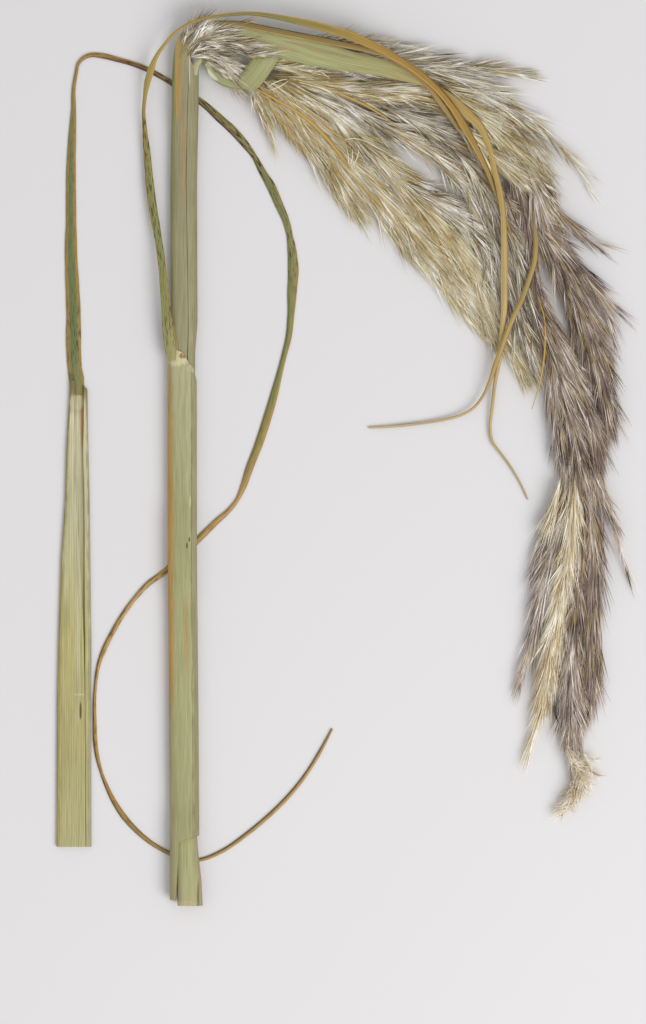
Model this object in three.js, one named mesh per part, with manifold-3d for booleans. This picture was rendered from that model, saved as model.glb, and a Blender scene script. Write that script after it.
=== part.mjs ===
// A dried flowering stem of purple pampas grass, pressed flat and lying on its back.
// Lengths are millimetres. Places are measured from the middle of the stem's cut end: x to the right,
// y along the stem towards its fold, z up from the surface that it lies on. At the end the group is
// moved so that its origin is the middle of that surface under the whole plant.

import * as THREE from 'three';
import { mergeVertices } from 'three/addons/utils/BufferGeometryUtils.js';
import Module from 'manifold-3d';

const wasm = await Module();
wasm.setup();

// Driving dimensions
const GAP = 0.3; // kept between two pieces that touch
const BLADE_THICKNESS = 0.6; // a leaf blade at its margins
const KEEL = 0.25; // how much thicker it is along its midrib
const BLADE_STEP = 9; // between two cross-sections of a blade
const SHEATH_WALL = 0.6;
const SHEATH_POINTS = 14; // round the outside of a sheath
const STEM_HEIGHT = 5.6; // the lower sheath with the culm in it, pressed
const UPPER_HEIGHT = 5.0; // the upper sheath with the culm in it
const BASAL_HEIGHT = 1.9; // the empty basal sheath, pressed
const OVAL_POWER = 0.8; // below 1 an oval section is flatter than an ellipse
const FLAT_SHARE = 0.06; // how far a section would bulge below its flat underside
const CULM_SIDES = 10;
const NEEDLE_WIDTH = 2.2; // a spikelet tuft at its belly
const NEEDLE_LENGTH = 17;
const NEEDLE_FLATNESS = 0.55; // a tuft's height over its width
const CORE_SIDES = 4;
const CORE_STEP = 11; // between two cross-sections of a branch
const CORE_FLATNESS = 0.65; // height of a branch over its width
const SEED = 1899;

// Small helpers for numbers and places

function randomFrom(seed) {
  let state = seed;
  return () => {
    state = (state + 0x6d2b79f5) | 0;
    let mixed = Math.imul(state ^ (state >>> 15), 1 | state);
    mixed = (mixed + Math.imul(mixed ^ (mixed >>> 7), 61 | mixed)) ^ mixed;
    return ((mixed ^ (mixed >>> 14)) >>> 0) / 4294967296;
  };
}

// Reads a table of [place, value, value, ...] rows at any place, straight between its rows.
function readTable(table, place) {
  let upper = table.findIndex((row) => row[0] >= place);
  if (upper < 0) upper = table.length - 1;
  const lower = Math.max(upper - 1, 0);
  const span = table[upper][0] - table[lower][0];
  const share = span > 0 ? THREE.MathUtils.clamp((place - table[lower][0]) / span, 0, 1) : 0;
  return table[upper].slice(1).map((value, i) => {
    const before = table[lower][i + 1];
    return before + (value - before) * share;
  });
}

// A smooth route through [x, y, z, width, extra] rows. Every station on it gives the place, the
// direction ahead, the sideways and upward directions of the cross-section, its width and its extra
// value, which is a roll in degrees for a blade and a height for a branch.
function followRoute(rows, step) {
  const corners = rows.map((row) => new THREE.Vector3(row[0], row[1], row[2]));
  const path = new THREE.CatmullRomCurve3(corners, false, 'centripetal');
  const stations = [];
  for (let i = 0; i < rows.length - 1; i += 1) {
    const count = Math.max(1, Math.round(corners[i].distanceTo(corners[i + 1]) / step));
    for (let k = 0; k < count; k += 1) stations.push(stationOn(path, rows, i + k / count));
  }
  stations.push(stationOn(path, rows, rows.length - 1));
  return stations;
}

function stationOn(path, rows, place) {
  const before = Math.min(Math.floor(place), rows.length - 2);
  const mix = (column) => {
    const start = rows[before][column] ?? 0;
    return THREE.MathUtils.lerp(start, rows[before + 1][column] ?? 0, place - before);
  };
  const share = place / (rows.length - 1);
  const ahead = path.getTangent(share);
  const side = new THREE.Vector3().crossVectors(ahead, new THREE.Vector3(0, 0, 1)).normalize();
  const up = new THREE.Vector3().crossVectors(side, ahead);
  return { at: path.getPoint(share), ahead, side, up, width: mix(3), extra: mix(4) };
}

// Solids

// Joins rings with the same number of points into one closed skin. A ring runs out along one face
// of the piece and back along the other, and both faces are split into triangles alike.
function skin(rings) {
  const size = rings[0].length;
  const positions = rings.flat().flatMap((point) => [point.x, point.y, point.z]);
  const index = [];
  for (let i = 0; i < rings.length - 1; i += 1) {
    for (let k = 0; k < size; k += 1) {
      const a = i * size + k;
      const b = i * size + ((k + 1) % size);
      const c = b + size;
      const d = a + size;
      if (k < size / 2) index.push(a, b, c, a, c, d);
      else index.push(a, b, d, b, c, d);
    }
  }
  for (let k = 0; k < size / 2 - 1; k += 1) {
    const far = size - 1 - k;
    const end = (rings.length - 1) * size;
    index.push(k, far, far - 1, k, far - 1, k + 1);
    index.push(end + k, end + far - 1, end + far, end + k, end + k + 1, end + far - 1);
  }
  const geometry = new THREE.BufferGeometry();
  geometry.setAttribute('position', new THREE.Float32BufferAttribute(positions, 3));
  geometry.setIndex(index);
  return facingOut(geometry);
}

function facingOut(geometry) {
  const position = geometry.attributes.position;
  const index = geometry.index.array;
  const corners = [new THREE.Vector3(), new THREE.Vector3(), new THREE.Vector3()];
  let volume = 0;
  for (let i = 0; i < index.length; i += 3) {
    corners.forEach((corner, k) => corner.fromBufferAttribute(position, index[i + k]));
    volume += corners[0].dot(corners[1].cross(corners[2]));
  }
  if (volume < 0) {
    for (let i = 0; i < index.length; i += 3) [index[i], index[i + 1]] = [index[i + 1], index[i]];
  }
  return geometry;
}

// Places points given across, up and along a station into space.
function placeRing(station, points) {
  return points.map(([across, up, along = 0]) =>
    station.at
      .clone()
      .addScaledVector(station.side, across)
      .addScaledVector(station.up, up)
      .addScaledVector(station.ahead, along),
  );
}

function solidFrom(geometry) {
  const merged = mergeVertices(geometry, 1e-4);
  return new wasm.Manifold(
    new wasm.Mesh({
      numProp: 3,
      vertProperties: merged.attributes.position.array,
      triVerts: new Uint32Array(merged.index.array),
    }),
  );
}

function fuse(geometries) {
  let whole = solidFrom(geometries[0]);
  for (const geometry of geometries.slice(1)) whole = whole.add(solidFrom(geometry));
  return whole;
}

// The solid's outer skin: hollows that fusing sealed are filled and loose scraps are dropped.
function geometryFrom(solid) {
  const mesh = solid.getMesh();
  const group = Array.from({ length: mesh.vertProperties.length / 3 }, (_, corner) => corner);
  const groupOf = (corner) => {
    let top = corner;
    while (group[top] !== top) top = group[top];
    group[corner] = top;
    return top;
  };
  const counts = new Map();
  for (let i = 0; i < mesh.triVerts.length; i += 3) {
    const [a, b, c] = mesh.triVerts.subarray(i, i + 3);
    group[groupOf(b)] = groupOf(a);
    group[groupOf(c)] = groupOf(a);
  }
  mesh.triVerts.forEach((corner) => {
    counts.set(groupOf(corner), (counts.get(groupOf(corner)) ?? 0) + 1);
  });
  const skinGroup = [...counts].sort((one, two) => two[1] - one[1])[0][0];
  const geometry = new THREE.BufferGeometry();
  geometry.setAttribute('position', new THREE.BufferAttribute(mesh.vertProperties, 3));
  geometry.setIndex([...mesh.triVerts].filter((corner) => groupOf(corner) === skinGroup));
  return geometry;
}

// A leaf blade: flat underside, low midrib, both margins as thick as the leaf.
function blade(rows) {
  const rings = followRoute(rows, BLADE_STEP).map((station) => {
    const half = station.width / 2;
    const roll = THREE.MathUtils.degToRad(station.extra);
    const section = [
      [-half, BLADE_THICKNESS],
      [0, BLADE_THICKNESS + KEEL],
      [half, BLADE_THICKNESS],
      [half, 0],
      [0, 0],
      [-half, 0],
    ];
    const rolled = section.map(([across, up]) => [
      across * Math.cos(roll) - up * Math.sin(roll),
      across * Math.sin(roll) + up * Math.cos(roll),
    ]);
    return placeRing(station, rolled);
  });
  return skin(rings);
}

// One point on a pressed oval section with a flat underside, at an angle from its right-hand side.
function ovalPoint(half, bottom, top, angle) {
  const bent = (value) => Math.sign(value) * Math.abs(value) ** OVAL_POWER;
  const rise = ((top - bottom) / 2) * (1 + FLAT_SHARE);
  const across = half * bent(Math.cos(angle));
  return [across, Math.max(top - rise + rise * bent(Math.sin(angle)), bottom)];
}

// The height of the stem over the surface: it rides over the basal blade that passes under it.
const CROSSINGS = [
  [-5, 31],
  [133, 156],
  [326, 380],
];
const CROSSING_RAMP = 10;
const CROSSING_RISE = BLADE_THICKNESS + KEEL + GAP;

function riseAt(y) {
  const shares = CROSSINGS.map(([from, to]) => {
    const outside = Math.max(from - y, y - to, 0);
    return 1 - Math.min(outside / CROSSING_RAMP, 1);
  });
  return CROSSING_RISE * Math.max(...shares);
}

// The cross-sections that a straight piece of the stem needs between two places along it.
function stemPlaces(from, to, table) {
  const bends = CROSSINGS.flatMap(([a, b]) => [a - CROSSING_RAMP, a, b, b + CROSSING_RAMP]);
  const rows = table.map((row) => row[0]);
  const inside = [...bends, ...rows].filter((y) => y > from && y < to);
  return [...new Set([from, ...inside, to])].sort((a, b) => a - b);
}

// A sheath is a tube that is split along its front. Its table holds, for places along the stem, the
// middle, width, underside, top, and the middle and width of the split. The end tables give how far
// along the stem each point of its two torn or slanted ends lies, by its distance from the middle.
function sheath({ table, from, to, lowEnd, highEnd, rise }) {
  const places = stemPlaces(from, to, table);
  const rings = places.map((y, i) => {
    const [middle, width, bottom, top, splitMiddle, splitWidth] = readTable(table, y);
    const base = rise(y);
    const half = width / 2;
    const lean = Math.abs(splitMiddle / half) ** (1 / OVAL_POWER) * Math.sign(splitMiddle);
    const split = Math.acos(lean);
    const opening = splitWidth / 2 / half;
    const endTable = i === 0 ? lowEnd : i === places.length - 1 ? highEnd : null;
    const wallPoint = (k, inset) => {
      const angle = split + opening + ((2 * Math.PI - 2 * opening) * k) / (SHEATH_POINTS - 1);
      const [across, up] = ovalPoint(half - inset, bottom + inset, top - inset, angle);
      const along = endTable ? readTable(endTable, across)[0] : y;
      return new THREE.Vector3(middle + across, along, base + up);
    };
    const outside = Array.from({ length: SHEATH_POINTS }, (_, k) => wallPoint(k, 0));
    const inside = Array.from({ length: SHEATH_POINTS }, (_, k) => wallPoint(k, SHEATH_WALL));
    return [...outside, ...inside.reverse()];
  });
  return skin(rings);
}

// Lower leaf: the sheath round the lower stem, torn at the bottom, and the blade from its collar.
const LOWER_SHEATH = [
  [0, 0.2, 12.4, 0, STEM_HEIGHT, 3.5, 0.5],
  [35, 0.3, 12.1, 0, STEM_HEIGHT, 3.5, 0.5],
  [84, -0.1, 12.1, 0, STEM_HEIGHT, 3.6, 0.5],
  [142, -0.6, 12.0, 0, STEM_HEIGHT, 3.8, 0.5],
  [216, -0.7, 12.0, 0, STEM_HEIGHT, 4.0, 0.5],
];
const LOWER_TORN_END = [
  [-6.2, 2.5],
  [-3.3, 2],
  [-2.7, 26],
  [3.5, 28.5],
  [6.2, 29],
];
const LOWER_MOUTH = [
  [-1.8, 228.5],
  [0.2, 227],
  [1.9, 224.5],
  [4.8, 220.5],
  [5.8, 215.5],
];
const LOWER_BLADE = [
  [-4.5, 224, 4.75, 4.4],
  [-5, 228, 4.9, 5.4],
  [-6, 234.5, 5.2, 5.1],
  [-7, 243, 5.3, 4.1],
  [-8, 253.5, 5.2, 3.5],
  [-9, 263.5, 4.6, 3.1],
  [-10.5, 274, 3.6, 3.1],
  [-12.5, 285.5, 2.8, 3.5],
  [-14, 296.5, 2.4, 3.4],
  [-15, 307.5, 2.2, 3.0, 6],
  [-16, 318, 2.4, 2.1, 14],
  [-16.5, 326.5, 2.8, 1.4, 20],
  [-16, 332.5, 3.2, 1.7, 12],
  [-15, 338.5, 4, 2.5, 4],
  [-13.5, 343.5, 4.8, 2.9, -6],
  [-11.5, 348.5, 5.8, 1.7, -14],
  [-8.5, 353, 7, 1.3, -16],
  [-4.5, 357.5, 8.4, 1.3, -14],
  [1, 361.5, 9.6, 1.2, -12],
  [8, 364, 10.6, 1.2, -10],
  [17.5, 365.5, 11.4, 1.3, -8],
  [28, 366, 12, 1.6, -6],
  [41, 364, 12.5, 2.3, -4],
  [54.5, 361, 12.9, 3.3],
  [66.5, 357.5, 13.2, 3.7],
  [76, 353.5, 13.3, 3.3],
  [87.5, 347.5, 13.3, 2.9],
  [96.5, 341.5, 13.3, 2.9],
  [104, 335, 13.1, 2.7],
  [109.5, 328.5, 12.6, 2.9],
  [115, 320, 11.9, 3.3],
  [120, 311, 11.2, 2.7],
  [124.5, 302, 10.4, 2.1],
  [129.5, 289, 9.4, 1.6],
  [133.5, 278, 9, 1.1],
  [136.5, 269.5, 8.6, 0.6],
];

function lowerLeaf() {
  const wrapped = sheath({
    table: LOWER_SHEATH,
    from: 30,
    to: 214,
    lowEnd: LOWER_TORN_END,
    highEnd: LOWER_MOUTH,
    rise: riseAt,
  });
  return fuse([wrapped, blade(LOWER_BLADE)]);
}

// Upper leaf: the sheath round the upper stem, slipped into the mouth of the lower one. Its torn
// top folds down, back up and then out over the plume as a wide strap that ends in a long tip.
const UPPER_NARROW_TOP = STEM_HEIGHT - SHEATH_WALL - GAP;
const UPPER_SHEATH = [
  [200, -0.7, 10.2, SHEATH_WALL + GAP, UPPER_NARROW_TOP, 2.0, 0.5],
  [228, -0.4, 10.2, SHEATH_WALL + GAP, UPPER_NARROW_TOP, 2.0, 0.5],
  [240, 0.1, 11.0, 0, UPPER_HEIGHT, 1.8, 0.5],
  [298, -0.1, 11.0, 0, UPPER_HEIGHT, 1.0, 0.5],
  [331, 0.6, 11.0, 0, UPPER_HEIGHT, 1.0, 0.5],
  [348, 0.7, 11.0, 0, UPPER_HEIGHT, 2.0, 0.5],
];
const UPPER_LOW_END = [[0, 200]];
const UPPER_TORN_TOP = [
  [-5.5, 341],
  [-4.6, 351],
  [-3, 356.5],
  [-0.5, 360.5],
  [1.6, 351],
  [2.6, 346],
  [5.5, 345],
];
const FOLDED_DOWN = [
  [4.6, 341, 4.8, 2.2],
  [6.4, 345.5, 5.7, 3.2],
  [9, 346.5, 5.9, 3.4],
  [12, 342, 6, 3.7],
  [17.5, 338.5, 6.8, 3.7],
  [25.5, 336.8, 8, 3.6],
];
const FOLDED_BACK = [
  [24.8, 336.3, 8.2, 8.6],
  [27.5, 339.2, 8.7, 9.4],
  [31.5, 344.5, 9.6, 9.6],
  [35.5, 350.5, 10.5, 9.4],
];
const UPPER_BLADE = [
  [-0.5, 348, 5.6, 3.3],
  [2.5, 353.5, 5.9, 5.2],
  [6.5, 357, 6.5, 7.0],
  [12.5, 358.5, 7.5, 7.4],
  [19, 358.5, 8.7, 8.6],
  [26.5, 357, 9.8, 10.7],
  [35.5, 354.5, 10.6, 11.5],
  [46.5, 352, 10.8, 11.5],
  [57.5, 349, 10.8, 10.7],
  [68.5, 346.5, 10.8, 8.2],
  [85, 343, 10.8, 7.0],
  [93, 340, 10.9, 4.5],
  [99, 337.5, 11, 2.5],
  [104, 335.5, 11.2, 1.6],
  [108, 333, 11.4, 2.3],
  [112, 329.5, 11.5, 3.3],
  [117, 324.5, 11.5, 3.9],
  [121, 320.5, 11.5, 3.5],
  [124, 315, 11.5, 2.9],
  [126, 309, 11.6, 2.5],
  [127.5, 302, 11.7, 2.5],
  [129.5, 293.5, 11.6, 2.5],
  [131, 284, 11, 2.3],
  [131.5, 272, 9.8, 2.7],
  [131.5, 257.5, 8.4, 2.9],
  [131.5, 245, 6.8, 2.7],
  [130.5, 232.5, 5.2, 2.1],
  [129.5, 223.5, 3.8, 1.9],
  [128, 215.5, 2.8, 1.6],
  [127, 206, 1.8, 1.4],
  [126, 196.5, 1.2, 1.2],
  [127, 190.5, 1, 1.2],
  [129.5, 187, 0.8, 1.1],
  [134, 181, 0.6, 0.9],
  [138.5, 173.5, 0.4, 0.8],
  [141.5, 167, 0.2, 0.6],
];

function upperLeaf() {
  const wrapped = sheath({
    table: UPPER_SHEATH,
    from: 200,
    to: 338,
    lowEnd: UPPER_LOW_END,
    highEnd: UPPER_TORN_TOP,
    rise: riseAt,
  });
  return fuse([wrapped, blade(UPPER_BLADE), blade(FOLDED_DOWN), blade(FOLDED_BACK)]);
}

// Third leaf: only its narrow blade is free. It lies on the strap, dives into the plume and comes
// out of it again as the longest tip.
const THIRD_BLADE = [
  [9, 361, 8.5, 1.6],
  [15.5, 362.2, 9.6, 2.0],
  [23, 362, 10.6, 2.1],
  [32.5, 360, 11.7, 2.5],
  [46.5, 357.2, 12, 2.5],
  [57.5, 355, 12, 2.5],
  [68.5, 352.8, 12, 2.5],
  [77, 351, 12, 2.5],
  [84, 348.8, 12, 2.1],
  [90, 345, 12.1, 2.1],
  [97, 339.5, 12.1, 2.1],
  [102.5, 333.3, 12, 2.1],
  [108, 326, 10.6, 2.1],
  [114.5, 317, 8.8, 2.1],
  [122.5, 308.5, 8.1, 2.1],
  [131, 302, 8.1, 2.1],
  [137.5, 297.5, 8.3, 2.1],
  [141.5, 293.5, 8.9, 1.9],
  [143.5, 289, 9.4, 1.9],
  [143.5, 282, 9.6, 1.9],
  [144.5, 273, 9.6, 2.1],
  [144, 265, 9.5, 2.1],
  [142, 258, 9.4, 2.1],
  [139, 249.5, 9, 2.1],
  [134.5, 240, 8.1, 2.1],
  [131, 230.5, 6.6, 2.0],
  [128, 222.5, 5.2, 1.9],
  [126, 216, 4, 1.6],
  [123, 209.5, 2.8, 1.3],
  [119, 204.5, 2, 1.2],
  [113.5, 201.5, 1.4, 1.1],
  [105.5, 199.5, 0.9, 1.1],
  [95, 198, 0.6, 1.1],
  [85, 197, 0.4, 1.0],
  [76, 196.5, 0.2, 0.7],
];

// Basal leaf: an empty sheath, pressed open, and a long blade that lies on the surface throughout.
const BASAL_SHEATH = [
  [24, -45.3, 14.4, 0, BASAL_HEIGHT, 4.9, 0.6],
  [84, -45.2, 14.0, 0, BASAL_HEIGHT, 4.5, 0.6],
  [109, -44.9, 13.6, 0, BASAL_HEIGHT, 4.0, 1.0],
  [142, -44.6, 12.1, 0, BASAL_HEIGHT, 2.9, 2.6],
  [167, -43.9, 10.1, 0, BASAL_HEIGHT, 1.6, 3.4],
  [187, -43.9, 9.1, 0, BASAL_HEIGHT, 0.8, 3.6],
  [208, -43.5, 7.6, 0, BASAL_HEIGHT, 0.7, 3.8],
  [214, -43.3, 6.8, 0, BASAL_HEIGHT, 0.7, 3.8],
];
const BASAL_CUT = [[0, 24]];
const BASAL_MOUTH = [
  [-3.4, 219],
  [-1.5, 215.5],
  [1.5, 214.5],
  [3.4, 212.5],
];
const BASAL_BLADE = [
  [-44, 210, 0, 5.6],
  [-44.3, 216.5, 0, 6.2],
  [-45, 221, 0, 5.8],
  [-45.5, 230.5, 0, 6.2],
  [-45.5, 243, 0, 5.8],
  [-46, 255.5, 0, 5.6],
  [-46.5, 267.5, 0, 5.2],
  [-46.5, 280, 0, 4.4],
  [-46.5, 304.5, 0, 3.8],
  [-46, 317, 0, 3.1],
  [-45.5, 327.5, 0, 2.0],
  [-45.5, 335.5, 0, 1.5],
  [-44.5, 342, 0, 1.3],
  [-43.5, 346.5, 0, 1.3],
  [-41, 349, 0, 1.6],
  [-38, 350, 0, 1.8],
  [-33, 349.5, 0, 2.2],
  [-27, 348, 0, 2.1],
  [-21.5, 346.5, 0, 2.1],
  [-15, 344, 0, 2.1],
  [-3.5, 337.5, 0, 2.1],
  [8.5, 329.5, 0, 2.6],
  [14.5, 324, 0, 3.3],
  [19.5, 319.5, 0, 3.5],
  [24.5, 314, 0, 3.1],
  [29, 308, 0, 2.2],
  [32.5, 301.5, 0, 2.9],
  [36, 295.5, 0, 3.7],
  [39, 288.5, 0, 3.5],
  [42, 281.5, 0, 2.9],
  [43.5, 275.5, 0, 2.5],
  [44.5, 269, 0, 3.7],
  [45, 261.5, 0, 4.3],
  [44.5, 252.5, 0, 3.9],
  [44, 243, 0, 2.7],
  [43, 233.5, 0, 2.5],
  [41, 225.5, 0, 2.1],
  [39, 217.5, 0, 2.5],
  [36.5, 208, 0, 3.3],
  [33.5, 198, 0, 3.5],
  [30.5, 189, 0, 3.3],
  [27, 180, 0, 3.1],
  [24.5, 172.5, 0, 2.6],
  [22, 167, 0, 1.6],
  [18.5, 162.5, 0, 1.9],
  [13, 157.5, 0, 2.5],
  [2.5, 147, 0, 2.5],
  [-9, 136.5, 0, 2.3],
  [-15, 132, 0, 2.1],
  [-20, 126.5, 0, 1.8],
  [-24.5, 120.5, 0, 1.8],
  [-29, 113, 0, 2.0],
  [-33, 105, 0, 2.0],
  [-35.5, 97.5, 0, 1.5],
  [-36.5, 90, 0, 1.2],
  [-36.9, 83, 0, 1.3],
  [-36.8, 75.5, 0, 1.5],
  [-36.6, 68, 0, 1.7],
  [-35.7, 61, 0, 1.6],
  [-34, 54.5, 0, 1.2],
  [-31.5, 48, 0, 1.6],
  [-28.5, 42, 0, 2.1],
  [-24.5, 36, 0, 2.3],
  [-19.5, 30.5, 0, 2.1],
  [-13.5, 25.5, 0, 1.8],
  [-6.5, 21.5, 0, 1.8],
  [0, 18.8, 0, 1.6],
  [6.5, 18.5, 0, 1.4],
  [15.5, 22, 0, 1.6],
  [27, 30, 0, 1.7],
  [40, 41.5, 0, 1.7],
  [49, 52, 0, 1.6],
  [56, 63, 0, 1.5],
  [61, 72.5, 0, 0.8],
];

function basalLeaf() {
  const wrapped = sheath({
    table: BASAL_SHEATH,
    from: 24,
    to: 211,
    lowEnd: BASAL_CUT,
    highEnd: BASAL_MOUTH,
    rise: () => 0,
  });
  return fuse([wrapped, blade(BASAL_BLADE)]);
}

// Culm: pressed oval inside the sheaths, split at its cut end. Above the upper sheath it necks down,
// bends over and runs on through the plume as its axis. Its rows hold place, width and height.
const CULM_STRAIGHT = [
  [0, 2.6, 10.4, 1.0, 5.2],
  [10, 2.1, 10.4, 1.0, 5.2],
  [22, 0.9, 10.1, 0.9, 4.7],
  [31, 0.3, 10.0, 0.9, 4.7],
  [84, -0.1, 10.0, 0.9, 4.7],
  [142, -0.6, 10.0, 0.9, 4.7],
  [190, -0.7, 9.8, 0.9, 4.7],
  [198, -0.7, 8.2, 1.8, 3.8],
  [230, -0.3, 8.2, 1.8, 3.8],
  [244, 0.1, 8.9, 0.9, 4.1],
  [298, 0, 8.8, 0.9, 4.1],
  [326, 0.5, 8.8, 0.9, 4.1],
  [338, 0.7, 7.4, 1.0, 4.1],
];
const AXIS_ROUTE = [
  [1, 345, 3.7, 4.6, 3.2],
  [1.8, 350, 3.6, 3.6, 3.0],
  [4, 353, 3.7, 3.1, 2.8],
  [8, 353.4, 3.9, 2.8, 2.6],
  [13, 351, 4.1, 2.6, 2.4],
  [23, 345.5, 4.7, 2.4, 2.2],
  [41.5, 338, 5.2, 2.2, 2.0],
  [60, 334, 5.5, 2.1, 1.9],
  [80.5, 329, 5.5, 2.0, 1.8],
  [99, 321.5, 5.5, 1.9, 1.7],
  [113, 310, 5.5, 1.8, 1.6],
  [123, 295, 5.5, 1.7, 1.6],
  [133, 276, 5.5, 1.6, 1.5],
  [141, 253, 5.3, 1.5, 1.4],
  [148.5, 232.5, 5.2, 1.4, 1.3],
  [155, 214, 5, 1.4, 1.3],
  [160, 195.5, 5, 1.3, 1.2],
  [162.5, 179, 5, 1.3, 1.2],
  [164, 158.5, 4.6, 1.2, 1.1],
  [162.5, 138, 4.4, 1.1, 1.0],
  [160.5, 117.5, 4.2, 1.1, 1.0],
  [159, 92.5, 4, 1.0, 0.9],
  [158.5, 68, 3.6, 0.9, 0.9],
  [159.5, 50, 3.2, 0.8, 0.8],
];
const AXIS_STEP = 14;
const AXIS_STATIONS = followRoute(AXIS_ROUTE, AXIS_STEP);
const CULM_SPLIT = { x: 5.9, width: 0.7, length: 10 };

function evenAngles(count) {
  return Array.from({ length: count }, (_, k) => (2 * Math.PI * (k + 0.5)) / count);
}

// An oval cross-section, as high as its station's extra value, centred on the route.
function branchRing(station, sides) {
  const section = evenAngles(sides).map((angle) => [
    (station.width / 2) * Math.cos(angle),
    (station.extra / 2) * Math.sin(angle),
  ]);
  return placeRing(station, section);
}

function culm() {
  const straight = stemPlaces(0, 338, CULM_STRAIGHT).map((y) => {
    const [middle, width, bottom, top] = readTable(CULM_STRAIGHT, y);
    return evenAngles(CULM_SIDES).map((angle) => {
      const [across, up] = ovalPoint(width / 2, bottom, top, angle);
      return new THREE.Vector3(middle + across, y, riseAt(y) + up);
    });
  });
  const axis = AXIS_STATIONS.map((station) => branchRing(station, CULM_SIDES));
  const split = new THREE.BoxGeometry(CULM_SPLIT.width, 2 * CULM_SPLIT.length, 3 * STEM_HEIGHT);
  split.translate(CULM_SPLIT.x, 0, STEM_HEIGHT);
  split.deleteAttribute('normal');
  split.deleteAttribute('uv');
  return solidFrom(skin([...straight, ...axis])).subtract(solidFrom(split));
}

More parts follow.
